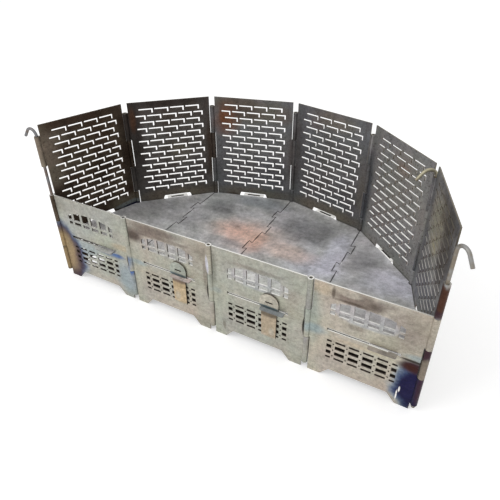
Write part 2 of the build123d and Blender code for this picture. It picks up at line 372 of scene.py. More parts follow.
class SheetPaint(Paint):
    """The finish of a steel sheet with stains, tints and soot on each side, and painted light and
    shade.
    """

    BRONZES = (Hue.BRONZE, Hue.RED_BRONZE, Hue.RUST_BROWN)
    TINTS = (*BRONZES, Hue.PURPLE, Hue.DEEP_BLUE, Hue.BLUE, Hue.SHARP_BLUE)
    DULL = (Hue.RUST, Hue.ROSE_RUST, Hue.SMOKE, Hue.OLIVE)
    WALL = Texture((0.9, 0.65, 0.5, 0.65), (1, 1, 14))
    FLOOR = Texture((0.9, 1.2, 0.6, 0.5), (0.8, 2.0, 1))

    WARP = Noise(20, 5, 0.6)
    CLOUDS = Noise(14, 5, 0.62)
    SHINE = Noise(60, 4)
    GRIME = Noise(330, 3, 0.6)
    MOTTLE = Noise(150, 5, 0.65)
    BLOTS = Noise(38, 4, 0.6)
    STREAKS = Noise(40)
    GRAIN = Noise(420, 3, 0.7)
    DRIFT = Noise(11, 5, 0.6)
    SWELL = Noise(9, 2)

    WANDER = 0.045  # how far noise shifts a stain's outline, in metres
    CALM_FROM = 60.0  # the size in millimetres under which a stain's outline is calmer
    DULLING = 0.7  # the share of the metal that a dull stain hides
    DULL_ROUGH = 0.2
    SHINE_SPREAD = 0.16
    CLOUD_STEP = (0.35, 0.65)
    GRIME_STEP = (0.56, 0.7)
    DARKEST = 0.1
    EDGE_SHARE = 0.9
    EDGE_SHINE = 0.08
    SIDE_STEP = (-0.2, 0.2)  # how far a face turns to its sheet's near side
    UPWARD_STEP = (0.3, 0.7)
    FLAT_STEP = (0.5, 0.9)  # how far a face of the floor turns up
    STEEP_STEP = (0.6, 0.9)  # how far a face of a wall turns to its edge
    # the floor's cut faces get painted shade from here back
    FLOOR_FROM = (4 * MM, 6 * MM)  # behind the front row, where the floor's cut faces are dark
    PLATE_FROM = 5.8 * MM  # from a hinge's axis, where its knuckle has become the flat sheet
    SWELL_SHARE = 1.2
    MOTTLE_SHARE = 0.02
    BUMP = {"Strength": 0.35, "Distance": 0.004}
    SHEEN = 0.2

    def __init__(self, name: str, station: Station, width: float, flat: bool = False) -> None:
        """Sets up the sheet's own coordinates.

        Args:
            name: The material's name.
            station: The sheet's lower left corner, with its photographed side towards -Y.
            width: How wide the sheet is, in metres.
            flat: Whether the sheet lies flat, so that its stains are read from above.
        """
        super().__init__(name)
        self.flat = flat
        self.width = width
        self.place = self.own("Object", (station.x, station.y, 0), station.heading)
        self.facing = self.own("Normal", (0, 0, 0), station.heading)
        warp = self.noise(self.place, self.WARP, "Color")
        self.warp = self.vector("SUBTRACT", warp, all_axes(self.NOISE_MIDDLE))

    def own(self, out: str, origin: Triple, heading: float) -> Value:
        """A texture coordinate on the sheet's own axes.

        Args:
            out: Which coordinate.
            origin: Where the sheet's axes start.
            heading: How far they are turned.

        Returns:
            The coordinate.
        """
        given = self.node("ShaderNodeTexCoord", {}, out)
        sockets = {"Vector": given, "Location": origin, "Rotation": (0, 0, heading)}
        return self.node("ShaderNodeMapping", sockets, vector_type="TEXTURE")

    def reach(self, stain: Patch) -> Value:
        """How far a place is from a stain's middle, as a share of its reach.

        Args:
            stain: The stain.

        Returns:
            0 in the middle and 1 at the edge.
        """

        def spread(along: float, up: float) -> Triple:
            """Two numbers on the axes that the stain lies along."""
            return (along, up, 0) if self.flat else (along, 0, up)

        middle = spread(stain.x * MM, stain.z * MM)
        scale = spread(1 / (stain.wide * MM), 1 / (stain.high * MM))
        unrest = self.WANDER * min(1.0, min(stain.wide, stain.high) / self.CALM_FROM)
        warp = self.vector("MULTIPLY", self.warp, all_axes(unrest))
        warped = self.vector("ADD", self.place, warp)
        gap = self.vector("MULTIPLY", self.vector("SUBTRACT", warped, middle), scale)
        return self.vector("LENGTH", gap, out="Value")

    def stain(self, coat: Coat, stain: Patch) -> Coat:
        """Lays a stain, or a patch of painted light or shade, on a coat.

        Args:
            coat: The coat so far.
            stain: The stain.

        Returns:
            The coat with the stain.
        """
        colour, rough, metal = coat
        mask = (1 - self.smooth(self.reach(stain), 1 - stain.soft, 1)) * stain.strength
        if stain.hue in self.DULL:
            metal = metal - mask * metal * self.DULLING
            rough = rough + mask * self.DULL_ROUGH
        elif stain.hue in self.TINTS:
            metal = metal + (1 - metal) * mask
        return self.mix(mask, colour, stain.hue), rough, metal

    def side(self, look: SheetLook) -> Coat:
        """Paints one side.

        Args:
            look: The side's look.

        Returns:
            Its coat.
        """
        clouds = self.smooth(self.noise(self.place, self.CLOUDS), *self.CLOUD_STEP)
        colour = self.mix(clouds * look.cloudy, look.hue, look.other)
        shine = self.noise(self.place, self.SHINE) * self.SHINE_SPREAD
        rough = shine + (look.rough - self.SHINE_SPREAD / 2)
        coat = (colour, rough, look.metal)
        for stain in look.stains:
            coat = self.stain(coat, stain)
        colour, rough, metal = coat
        specks = self.smooth(self.noise(self.place, self.GRIME), *self.GRIME_STEP)
        return self.mix(specks * look.grime, colour, Hue.BROWN_SOOT_AND_SHADE), rough, metal

    def uneven(self, colour: Value, mottle: Value, drift: float) -> Value:
        """Varies a colour's strength finely and its hue broadly.

        Args:
            colour: The colour.
            mottle: The sheet's mottle.
            drift: How much the hue varies.

        Returns:
            The varied colour.
        """
        texture = self.FLOOR if self.flat else self.WALL
        stretched = self.vector("MULTIPLY", self.place, texture.stretch)
        blots = self.noise(self.place, self.BLOTS)
        streaks = self.noise(stretched, self.STREAKS)
        grain = self.noise(self.place, self.GRAIN)
        layers = zip((mottle, blots, streaks, grain), texture.shares)
        level = sum(layer * share for layer, share in layers) + (1 - sum(texture.shares) / 2)
        colour = self.vector("MULTIPLY", colour, self.maths("MAXIMUM", level, self.DARKEST))
        shift = self.noise(self.place, self.DRIFT, "Color")
        shift = self.vector("MULTIPLY", shift, all_axes(drift))
        shift = self.vector("ADD", shift, all_axes(1 - drift / 2))
        return self.vector("MULTIPLY", colour, shift)

    def cut_faces(self) -> Value:
        """Tells the sheet's cut faces from its sides.

        Returns:
            1 on the cut faces and 0 on the sides.
        """
        along, upright = (abs(self.part(self.facing, axis)) for axis in "XZ")
        if self.flat:
            behind = self.smooth(self.part(self.place, "Y"), *self.FLOOR_FROM)
            return (1 - self.smooth(upright, *self.FLAT_STEP)) * behind
        x, start = self.part(self.place, "X"), self.PLATE_FROM
        plate = self.smooth(x, start, start + MM)
        plate = plate * (1 - self.smooth(x, self.width - start - MM, self.width - start))
        ends = self.smooth(along, *self.STEEP_STEP) * plate
        return self.maths("MAXIMUM", self.smooth(upright, *self.STEEP_STEP), ends)

    def edge_hue(self, edge: EdgeLook) -> Value:
        """The hue of the cut faces, with painted light and shade that depend on whether they face
        up.

        Args:
            edge: Their look.

        Returns:
            The colour.
        """
        # painted light: cut faces that face up take one hue, the others a painted shade
        upward = self.smooth(self.part(self.facing, "Z"), *self.UPWARD_STEP)
        # a darker hue from some height: soot, and in the low panels' vents painted shade as well
        height = self.part(self.place, "Z")
        soot = self.smooth(height, edge.clean_below * MM, edge.sooty_above * MM)
        return self.mix(soot, self.mix(upward, edge.aside, edge.upward), edge.soot_and_shade)

    def dress(
        self,
        near: SheetLook,
        far: SheetLook,
        edge: EdgeLook,
        both: tuple[Patch, ...] = (),
        masks: tuple[tuple[Value, Hue], ...] = (),
    ) -> bpy.types.Material:
        """Paints both sides and the cut edges.

        Args:
            near: The photographed side.
            far: The other side.
            edge: The cut faces.
            both: Stains that go right through to both sides.
            masks: Where painted light and shade give the sheet another hue all through, from 0 to
                1, and that hue.

        Returns:
            The material.
        """
        toward = self.part(self.facing, "Z") if self.flat else -self.part(self.facing, "Y")
        to_near = self.smooth(toward, *self.SIDE_STEP)
        near_colour, near_rough, near_metal = self.side(near)
        far_colour, far_rough, far_metal = self.side(far)
        colour = self.mix(to_near, far_colour, near_colour)
        rough = far_rough + (near_rough - far_rough) * to_near
        metal = far_metal + (near_metal - far_metal) * to_near
        for stain in both:
            colour, rough, metal = self.stain((colour, rough, metal), stain)
        mottle = self.noise(self.place, self.MOTTLE)
        cut = self.cut_faces()
        colour = self.uneven(colour, mottle, near.drift)
        colour = self.mix(cut * self.EDGE_SHARE, colour, self.edge_hue(edge))
        for mask, hue in masks:
            colour = self.mix(mask, colour, hue)
        swell = self.noise(self.place, self.SWELL) * self.SWELL_SHARE
        height = swell + mottle * self.MOTTLE_SHARE
        sockets = {
            "Base Color": colour,
            "Roughness": rough - cut * self.EDGE_SHINE,
            "Metallic": metal,
            "Normal": self.node("ShaderNodeBump", {**self.BUMP, "Height": height}),
            "Specular IOR Level": self.SHEEN,
        }
        return self.show(self.node("ShaderNodeBsdfPrincipled", sockets))


class Former(Tree):
    """A Geometry Nodes tree that shapes one kind of piece in millimetres, with named sizes."""

    SHARP = 0.7  # the angle in radians from which an edge stays sharp
    WELD = 0.001
    CORNER_STEPS = 6

    def __init__(self, name: str, sizes: dict[str, float]) -> None:
        """Starts a tree.

        Args:
            name: The tree's name.
            sizes: The value of each named input. A whole number makes it a count.
        """
        super().__init__(bpy.data.node_groups.new(name, "GeometryNodeTree"))
        self.values = dict(sizes)
        kinds = {size: "Int" if isinstance(sizes[size], int) else "Float" for size in sizes}
        kinds |= {"place": "Vector", "heading": "Float", "finish": "Material"}
        self.keys = {size: self.add(size, kind, "INPUT") for size, kind in kinds.items()}
        self.add("piece", "Geometry", "OUTPUT")
        self.group = self.tree.nodes.new("NodeGroupInput")

    def add(self, name: str, kind: str, way: str) -> str:
        """Adds a named input or output and gives its identifier."""
        sockets = self.tree.interface
        return sockets.new_socket(name, in_out=way, socket_type=f"NodeSocket{kind}").identifier

    def __getitem__(self, size: str) -> Value:
        """The named input as a value."""
        return Value(self, self.group.outputs[size])

    def pick(self, kind: str, choices: list[Any]) -> Value:
        """One of several values, VECTOR or FLOAT, by each point's number."""
        sockets = dict(enumerate([self.index(), *choices]))
        return self.node("GeometryNodeIndexSwitch", sockets, data_type=kind, items=len(choices))

    def index(self) -> Value:
        """Each point's number, from 0."""
        return self.node("GeometryNodeInputIndex", {})

    def line(
        self,
        corners: list[tuple[Any, Any]],
        radii: list[Any] | None = None,
        steps: int = CORNER_STEPS,
        closed: bool = True,
    ) -> Value:
        """A run of straight lines in the flat, some of its corners rounded.

        Args:
            corners: The corners, as X and Y.
            radii: The radius at each corner, or None to leave all sharp.
            steps: How many points a round corner gets.
            closed: Whether it ends where it starts.

        Returns:
            The curve.
        """
        spots = self.pick("VECTOR", [self.point(x, y, 0) for x, y in corners])
        points = self.node("GeometryNodePoints", {"Count": len(corners), "Position": spots})
        curve = self.node("GeometryNodePointsToCurves", {"Points": points})
        if closed:
            sockets = {"Geometry": curve, "Cyclic": True}
            curve = self.node("GeometryNodeSetSplineCyclic", sockets)
        if radii is None:
            return curve
        sockets = {"Curve": curve, "Count": steps, "Radius": self.pick("FLOAT", radii)}
        sockets["Limit Radius"] = True
        return self.node("GeometryNodeFilletCurve", sockets, mode="POLY")

    def box(self, left: Any, right: Any, low: Any, high: Any) -> Value:
        """A closed outline with four square corners."""
        return self.line([(left, low), (right, low), (right, high), (left, high)])

    def rectangle(self, wide: Any = 1.0, high: Any = 1.0) -> Value:
        """A closed rectangle around the middle, a unit square if nothing is said."""
        sockets = {"Width": wide, "Height": high}
        return self.node("GeometryNodeCurvePrimitiveQuadrilateral", sockets, mode="RECTANGLE")

    def circle(self, steps: int, radius: Value) -> Value:
        """A closed circle around the middle."""
        sockets = {"Resolution": steps, "Radius": radius}
        return self.node("GeometryNodeCurvePrimitiveCircle", sockets, mode="RADIUS")

    def points(self, count: Any, place: Value) -> Value:
        """A number of points, each at its place."""
        return self.node("GeometryNodePoints", {"Count": count, "Position": place})

    def lattice(
        self,
        columns: Any,
        rows: Any,
        x_of: Callable[[Value], Any],
        y_of: Callable[[Value], Any],
    ) -> Value:
        """Points in columns and rows.

        Args:
            columns: How many columns.
            rows: How many rows.
            x_of: Gives X from the column's number.
            y_of: Gives Y from the row's number.

        Returns:
            The points.
        """
        place = self.point(x_of(self.column(columns)), y_of(self.row(columns)), 0)
        return self.points(columns * rows, place)

    def column(self, columns: Any) -> Value:
        """The number of a lattice point's column, from 0."""
        return self.index() % columns

    def row(self, columns: Any) -> Value:
        """The number of a lattice point's row, from 0."""
        return self.maths("FLOOR", self.index() / columns)

    def stamp(self, points: Value, shape: Value, scale: Any = (1, 1, 1)) -> Value:
        """Sets a copy of a shape on each point.

        Args:
            points: The points.
            shape: The shape.
            scale: The size of each copy.

        Returns:
            The copies.
        """
        sockets = {"Points": points, "Instance": shape, "Scale": scale}
        copies = self.node("GeometryNodeInstanceOnPoints", sockets)
        return self.node("GeometryNodeRealizeInstances", {"Geometry": copies})

    def join(self, parts: list[Value]) -> Value:
        """Several geometries as one."""
        return self.node("GeometryNodeJoinGeometry", {"Geometry": parts})

    def moved(self, geometry: Value, **how: Any) -> Value:
        """A geometry after its Scale, its Rotation and its Translation, in that order."""
        return self.node("GeometryNodeTransform", {"Geometry": geometry, **how})

    def stood_up(self, geometry: Value) -> Value:
        """A geometry drawn in the flat, turned so that its Y points up."""
        return self.moved(geometry, Rotation=(math.pi / 2, 0, 0))

    def shaded(self, mesh: Value, smooth: bool, domain: str = "FACE", where: Any = True) -> Value:
        """A mesh with its faces or some of its edges smooth or flat."""
        sockets = {"Geometry": mesh, "Shade Smooth": smooth, "Selection": where}
        return self.node("GeometryNodeSetShadeSmooth", sockets, domain=domain)

    def cut_sheet(self, edge: Value, holes: list[Value], thickness: Any) -> Value:
        """A plate cut from sheet, stood up with its middle at Y = 0.

        Args:
            edge: Its outline, drawn in the flat.
            holes: The outlines of its holes.
            thickness: The sheet's.

        Returns:
            The plate.
        """
        curves = self.join([edge, *holes])
        flat = self.node("GeometryNodeFillCurve", {"Curve": curves}, mode="NGONS")
        sockets = {"Mesh": flat, "Offset": (0, 0, 1), "Offset Scale": thickness}
        sockets["Individual"] = False
        raised = self.node("GeometryNodeExtrudeMesh", sockets, mode="FACES")
        back = self.node("GeometryNodeFlipFaces", {"Mesh": flat})
        sockets = {"Geometry": self.join([raised, back]), "Distance": self.WELD}
        closed = self.node("GeometryNodeMergeByDistance", sockets)
        middle = self.point(0, 0, thickness * -0.5)
        return self.stood_up(self.moved(self.shaded(closed, False), Translation=middle))

    def swept(self, line: Value, section: Value, scale: Any = 1.0) -> Value:
        """A section swept along a line, with closed ends, smooth but for its sharp edges.

        Args:
            line: The line.
            section: The section.
            scale: How large the section is at each point of the line.

        Returns:
            The mesh.
        """
        sockets = {"Curve": line, "Profile Curve": section, "Scale": scale, "Fill Caps": True}
        made = self.shaded(self.node("GeometryNodeCurveToMesh", sockets), True)
        sharp = self.node("GeometryNodeInputMeshEdgeAngle", {}) > self.SHARP
        return self.shaded(made, False, "EDGE", sharp)

    def close(self, geometry: Value) -> "Former":
        """Ends the tree: the piece in metres, in its place and with its finish.

        Args:
            geometry: The piece at its own station.

        Returns:
            The finished tree.
        """
        heading = {"Euler": self.point(0, 0, self["heading"])}
        turn = self.node("FunctionNodeEulerToRotation", heading)
        how = {"Translation": self["place"], "Rotation": turn, "Scale": (MM, MM, MM)}
        placed = self.moved(geometry, **how)
        real = self.node("GeometryNodeRealizeInstances", {"Geometry": placed})
        sockets = {"Geometry": real, "Material": self["finish"]}
        self.end("NodeGroupOutput", 0, self.node("GeometryNodeSetMaterial", sockets))
        return self

    def grow(
        self, name: str, station: Station, finish: bpy.types.Material, **sizes: float
    ) -> bpy.types.Object:
        """Runs the tree and keeps its result as a plain mesh.

        Args:
            name: The piece's name.
            station: Where it stands.
            finish: Its material.
            sizes: Sizes that differ from the tree's own.

        Returns:
            The piece, with no modifier on it.
        """
        piece = bpy.data.objects.new(name, bpy.data.meshes.new(name))
        bpy.context.scene.collection.objects.link(piece)
        modifier = piece.modifiers.new("former", "NODES")
        modifier.node_group = self.tree
        values = {**self.values, **sizes, "heading": station.heading, "finish": finish}
        values["place"] = (station.x, station.y, station.z)
        for size, value in values.items():
            modifier[self.keys[size]] = value
        evaluated = piece.evaluated_get(bpy.context.evaluated_depsgraph_get())
        mesh = bpy.data.meshes.new_from_object(evaluated)
        piece.modifiers.clear()
        piece.data = mesh
        mesh.name = name
        return piece


def middle_of(node: str) -> Vector:
    """The middle of a node's box."""
    low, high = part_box(node)
    return (low + high) / 2


def ring_axes() -> list[Vector]:
    """The rear hinge axes.

    Returns:
        Their places, from the left front corner to the right one.
    """
    rows = frame["joints"]
    joints = {joint["name"]: Vector(joint["pos_m"]) for joint in rows if "pos_m" in joint}
    pins = [middle_of(f"rear_pin_{i + 1}") for i in range(REAR_COUNT - 2)]
    ends = [joints["right_outer_hinge"], joints["right_corner_hinge"]]
    return [joints["left_corner_hinge"], *pins, *ends]


def front_middle() -> Vector:
    """A point on the hinge axis in the middle of the front row."""
    return middle_of("front_pin_2")


def put_on(names: list[str], material: bpy.types.Material) -> None:
    """Gives nodes a material.

    Args:
        names: The nodes.
        material: What they get.
    """
    for name in names:
        mesh = frame["nodes"][name].data
        mesh.materials.clear()
        mesh.materials.append(material)


def hand_over(piece: bpy.types.Object, body: str, node: str) -> None:
    """Puts a finished piece on its body in place of a node.

    Args:
        piece: The piece.
        body: The body that it rides on.
        node: The node that it stands for.
    """
    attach(piece, body)
    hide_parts(node)
    faces = len(piece.data.polygons)
    log.info("%s rides on %s for %s, %d faces", piece.name, body, node, faces)


@dataclass(frozen=True)
class Row:
    """A row of openings, of which the first and the last are short."""

    form: Former
    count: Value
    whole: Value
    end: Value
    joint: Value
    start: Any = 0.0

    def span(self) -> Value:
        """How long the row is."""
        return self.whole * (self.count - 2) + self.end * 2 + self.joint * (self.count - 1)

    def low(self, number: Value) -> Value:
        """Where an opening starts."""
        later = self.form.maths("MAXIMUM", number - 1, 0) * (self.whole + self.joint)
        return (number > 0) * (self.end + self.joint) + later + self.start

    def size(self, number: Value) -> Value:
        """How long an opening is."""
        inner = (number > 0) * (number < self.count - 1)
        return self.end + (self.whole - self.end) * inner

    def middle(self, number: Value) -> Value:
        """The middle of an opening."""
        return self.low(number) + self.size(number) / 2


@dataclass
class Panels:
    """What the low and the tall panels share: their edge, feet, vents and knuckles."""

    panel_width: float = 200.0
    sheet: float = 2.5
    leaf_edge: float = 6.78
    height: float = 213.0
    foot_length: float = 31.0
    foot_slant: float = 16.0
    foot_cut: float = 19.0
    foot_corner: float = 5.0
    vent_low: float = 48.0
    vent_length: float = 18.0
    vent_end_length: float = 9.0
    vent_high: float = 7.8
    vent_end_high: float = 4.2
    vent_joint: float = 6.6
    vent_dot: float = 3.0
    columns: int = 6
    levels: int = 4
    curl_bore: float = 3.08
    curl_slit_angle: float = 34.0
    curl_slit: float = 0.6
    zone: float = 66.0
    zone_gap: float = 0.8
    zones_top: float = 345.0
    start_first: int = 3
    start_count: int = 2
    end_first: int = 4
    end_count: int = 1

    CURL_STEPS = 40
    DOT_STEPS = 10

    def edge(self, form: Former) -> Value:
        """The panel's outline, with two feet and the slanted cut between them.

        Args:
            form: The tree.

        Returns:
            The outline.
        """
        foot, bend = form["foot_length"], form["foot_corner"]
        inner = (foot + form["foot_slant"], form["foot_cut"])
        half = [(form["leaf_edge"], form["height"]), (form["leaf_edge"], 0), (foot, 0), inner]
        mirrored = [(form["panel_width"] - x, z) for x, z in reversed(half)]
        corners = [*half[1:], *mirrored, half[0]]
        return form.line(corners, [0.0, bend, bend, bend, bend, 0.0, 0.0, 0.0])

    def across(self, form: Former) -> Row:
        """The columns of openings, centred on the panel.

        Args:
            form: The tree.

        Returns:
            Their row.
        """
        sizes = [form[size] for size in ("columns", "vent_length", "vent_end_length", "vent_joint")]
        row = Row(form, *sizes)
        return Row(form, *sizes, (form["panel_width"] - row.span()) / 2)

    def cells(self, form: Former, low: Value, high: Value) -> Value:
        """A row of openings, one for each column.

        Args:
            form: The tree.
            low: The openings' lower edge.
            high: Their height.

        Returns:
            Their outlines.
        """
        row, columns = self.across(form), form["columns"]
        spots = form.lattice(columns, 1, row.middle, lambda level: low + high / 2)
        size = form.point(row.size(form.column(columns)), high, 1)
        return form.stamp(spots, form.rectangle(), size)

    def vents(self, form: Former) -> list[Value]:
        """The brick vents, and a dot in each crossing of the sheet between them.

        Args:
            form: The tree.

        Returns:
            Their outlines.
        """
        across, count, levels = self.across(form), form["columns"], form["levels"]
        whole, end, joint = form["vent_high"], form["vent_end_high"], form["vent_joint"]
        up = Row(form, levels, whole, end, joint, form["vent_low"])
        spots = form.lattice(count, levels, across.middle, up.middle)
        size = form.point(across.size(form.column(count)), up.size(form.row(count)), 1)
        crossings = form.lattice(
            count - 1,
            levels - 1,
            lambda number: across.low(number + 1) - joint / 2,
            lambda number: up.low(number + 1) - joint / 2,
        )
        dot = form.circle(self.DOT_STEPS, form["vent_dot"] / 2)
        return [form.stamp(spots, form.rectangle(), size), form.stamp(crossings, dot)]

    def curls(self, form: Former) -> list[Value]:
        """The knuckles at both ends, rolled from the sheet, with the straight strip of each.

        Args:
            form: The tree.

        Returns:
            The knuckles of each end.
        """
        parts = []
        rolled = form["curl_bore"] + form["sheet"] / 2
        tall = form["zone"] - form["zone_gap"]
        gap = form["curl_slit"] / rolled
        strip = form["leaf_edge"] - rolled
        angle = form.maths("RADIANS", form["curl_slit_angle"])
        ends = (("start", 1, 0.0, -angle), ("end", -1, form["panel_width"], angle + math.pi))
        for end, outwards, axis, slit in ends:
            sockets = {
                "Resolution": self.CURL_STEPS,
                "Radius": rolled,
                "Start Angle": slit + gap / 2,
                "Sweep Angle": 2 * math.pi - gap,
            }
            arc = form.node("GeometryNodeCurveArc", sockets, mode="RADIUS")
            curl = form.swept(arc, form.rectangle(form["sheet"], tall))
            size = form.point(strip, form["sheet"], tall)
            block = form.node("GeometryNodeMeshCube", {"Size": size})
            shift = form.point((rolled + strip / 2) * outwards, 0, 0)
            block = form.moved(form.shaded(block, False), Translation=shift)
            number = form.index() * 2 + form[f"{end}_first"]
            place = form.point(axis, 0, form["zones_top"] - (number - 0.5) * form["zone"])
            spots = form.points(form[f"{end}_count"], place)
            parts.append(form.stamp(spots, form.join([curl, block])))
        return parts

    def former(self, name: str) -> Former:
        """Makes the tree that shapes one kind of panel.

        Args:
            name: The tree's name.

        Returns:
            The tree, with an input for each size.
        """
        form = Former(name, asdict(self))
        holes = [*self.vents(form), *self.openings(form)]
        plate = form.cut_sheet(self.edge(form), holes, form["sheet"])
        return form.close(form.join([plate, *self.curls(form)]))

    def openings(self, form: Former) -> list[Value]:
        """The openings that one kind of panel has besides."""
        return []


@dataclass
class FrontRow(Panels):
    """The low panels, with a grille and the slit for a floor tongue."""

    slit_length: float = 126.0
    slit_high: float = 6.0
    slit_low: float = 112.5
    grille_low: float = 150.5
    grille_low_row: float = 7.6
    grille_rail: float = 4.4
    grille_side: float = 6.0
    grille_arch: float = 15.0
    grille_overhang: float = 2.0

    # painted highlight on the cut faces that face up, painted shade on the others, and below about
    # 100 mm, in the vents, a darker hue of soot and painted shade
    CUT = EdgeLook(Hue.BARE_STEEL_AND_HIGHLIGHT, Hue.BROWN_SOOT_AND_SHADE, Hue.SMOKE, 104.0, 96.0)
    FAR = SheetLook(Hue.GREY_STEEL, Hue.WARM_STEEL, patches(
        (100, 165, 150, 80, Hue.GREY_SOOT, 0.75),
        (60, 140, 60, 40, Hue.BROWN_SOOT_AND_SHADE, 0.5),
        (150, 190, 60, 30, Hue.BROWN_SOOT_AND_SHADE, 0.4),
    ))
    HINGE_SHADOW = (193, 102, 3, 21, Hue.BLACK_SOOT_AND_SHADE, 0.9, 0.5)
    KEY_SHADOW = (123.5, 128, 10, 4.5, Hue.BLACK_SOOT_AND_SHADE, 0.9, 0.4)
    LOOKS = (
        SheetLook(Hue.PALE_STEEL, Hue.GREEN_STEEL, patches(
            (14, 196, 30, 24, Hue.OLIVE, 0.3),
            (60, 150, 80, 40, Hue.FLOOR_BLUE, 0.25),
            (100, 200, 130, 26, Hue.GREY_STEEL, 0.35),
            (70, 96, 60, 34, Hue.PALE_BLUE, 0.6),
            (184, 50, 44, 64, Hue.PALE_BLUE, 0.8),
            (120, 24, 70, 20, Hue.CREAM, 0.5),
            (182, 132, 44, 12, Hue.STRAW, 0.4),
            (146, 103, 54, 10, Hue.BLUE, 0.7, 0.9),
            (164, 106, 26, 8, Hue.SHARP_BLUE, 0.9, 0.8),
            (201, 85, 13, 19, Hue.SHARP_BLUE, 0.95, 0.7),
            (10, 56, 66, 70, Hue.PALE_BLUE, 0.6, 0.4),
            (-2, 62, 70, 104, Hue.BLUE, 0.9, 0.3),
            (-4, 62, 65, 101, Hue.DEEP_BLUE, 0.6, 0.25),
            (-5, 60, 61, 96, Hue.PURPLE, 0.9, 0.3),
            (-8, 66, 57, 84, Hue.BRONZE, 0.95, 0.45),
            (44, 60, 15, 62, Hue.PURPLE, 0.6, 0.8),
            (16, 4, 38, 30, Hue.PURPLE, 0.7),
            (84, 118, 66, 2.4, Hue.BROWN_SOOT_AND_SHADE, 0.7, 0.5),
            HINGE_SHADOW,
        )),
        SheetLook(Hue.PALE_STEEL, Hue.WARM_STEEL, patches(
            (100, 166, 70, 22, Hue.PALE_LILAC, 0.4, 0.3),
            (74, 203, 90, 14, Hue.SMOKE, 0.75),
            (54, 190, 66, 10, Hue.SMOKE, 0.65),
            (118, 189, 64, 6, Hue.SMOKE, 0.45),
            (152, 176, 20, 12, Hue.SMOKE, 0.3),
            (18, 178, 32, 22, Hue.SMOKE, 0.85),
            (20, 176, 20, 14, Hue.BROWN_SOOT_AND_SHADE, 0.6),
            (16, 110, 40, 10, Hue.PALE_BLUE, 0.8),
            (0, 102, 12, 24, Hue.BLUE, 0.95, 0.6),
            (-1, 100, 6, 20, Hue.SHARP_BLUE, 0.9, 0.6),
            KEY_SHADOW,
            (16, 90, 24, 9, Hue.STRAW, 0.25),
            # painted highlight on the hinge at the right edge
            (196, 168, 6, 26, Hue.LILAC, 0.9, 0.4),
            (182, 190, 22, 22, Hue.SMOKE, 0.35),
            (189, 140, 7, 60, Hue.SMOKE, 0.45),
            (110, 34, 120, 36, Hue.CREAM, 0.6),
            (10, 70, 40, 60, Hue.PALE_STEEL, 0.7),
            (180, 60, 34, 60, Hue.PALE_STEEL, 0.6),
            (176, 16, 24, 16, Hue.OLIVE, 0.2),
            HINGE_SHADOW,
        ), cloudy=0.7),
        SheetLook(Hue.PALE_STEEL, Hue.GREEN_STEEL, patches(
            (98, 190, 76, 7, Hue.SMOKE, 0.4),
            (100, 165, 68, 24, Hue.PALE_LILAC, 0.7, 0.3),
            KEY_SHADOW,
            (8, 160, 12, 50, Hue.OLIVE, 0.35),
            (14, 112, 18, 10, Hue.PALE_BLUE, 0.35),
            (28, 30, 5, 16, Hue.OLIVE, 0.6),
            (200, 130, 8, 90, Hue.GREY_STEEL, 0.8, 0.5),
            (160, 140, 40, 50, Hue.WARM_STEEL, 0.4),
            HINGE_SHADOW,
        )),
        SheetLook(Hue.CREAM, Hue.WARM_STEEL, patches(
            (6, 140, 26, 90, Hue.GREEN_STEEL, 0.8),
            (175, 165, 64, 56, Hue.SMOKE, 0.34),
            (98, 164, 66, 24, Hue.PALE_LILAC, 0.75, 0.3),
            (20, 200, 26, 18, Hue.STRAW, 0.35),
            (84, 198, 56, 20, Hue.SMOKE, 0.7, 0.6),
            (68, 205, 26, 10, Hue.CREAM, 0.9, 0.5),
            (74, 187, 40, 5, Hue.BROWN_SOOT_AND_SHADE, 0.75, 0.8),
            (112, 194, 22, 12, Hue.BROWN_SOOT_AND_SHADE, 0.45),
            (41, 198, 5, 16, Hue.BROWN_SOOT_AND_SHADE, 0.7),
            (128, 204, 24, 8, Hue.SMOKE, 0.4),
            (84, 138, 24, 9, Hue.SMOKE, 0.45),
            (12, 106, 36, 16, Hue.PALE_BLUE, 0.75),
            (100, 100, 70, 8, Hue.STRAW, 0.3),
            (196, 119, 40, 10, Hue.PALE_BLUE, 0.7),
            (204, 50, 60, 74, Hue.PALE_BLUE, 0.8, 0.35),
            (204, 50, 52, 68, Hue.BLUE, 0.95, 0.35),
            (206, 48, 50, 66, Hue.DEEP_BLUE, 1.0, 0.4),
            (190, 98, 36, 18, Hue.PURPLE, 1.0, 0.6),
            (182, 97, 24, 13, Hue.RED_BRONZE, 1.0, 0.9),
            (182, 111, 30, 3.4, Hue.BLACK_SOOT_AND_SHADE, 0.9, 0.6),
            (203, 60, 10, 60, Hue.PURPLE, 0.8),
            (169, 22, 1.6, 16, Hue.BARE_STEEL_AND_HIGHLIGHT, 0.9, 0.5),
            (172, 38, 2.0, 9, Hue.BARE_STEEL_AND_HIGHLIGHT, 0.8, 0.5),
            # painted glint on the foot by the right-hand hinge
            (197, 4, 6, 10, Hue.TAN, 0.9, 0.5),
        )),
    )

    def openings(self, form: Former) -> list[Value]:
        """The slit at floor level, and the grille with its arched top.

        Args:
            form: The tree.

        Returns:
            Their outlines.
        """
        middle, half, low = form["panel_width"] / 2, form["slit_length"] / 2, form["slit_low"]
        slit = form.box(middle - half, middle + half, low, low + form["slit_high"])
        sill = self.cells(form, form["grille_low"], form["grille_low_row"])
        over = form["grille_low"] + form["grille_low_row"] + form["grille_rail"]
        tall = self.cells(form, over, form["grille_side"])
        spot = form.node("GeometryNodeInputPosition", {})
        reach = self.across(form).span() / 2 + form["grille_overhang"]
        share = (form.part(spot, "X") - middle) / reach
        arch = form["grille_arch"] * form.maths("SQRT", 1 - share * share)
        rise = arch * (form.part(spot, "Y") > over + form["grille_side"] / 2)
        sockets = {"Geometry": tall, "Offset": form.point(0, rise, 0)}
        return [slit, sill, form.node("GeometryNodeSetPosition", sockets)]

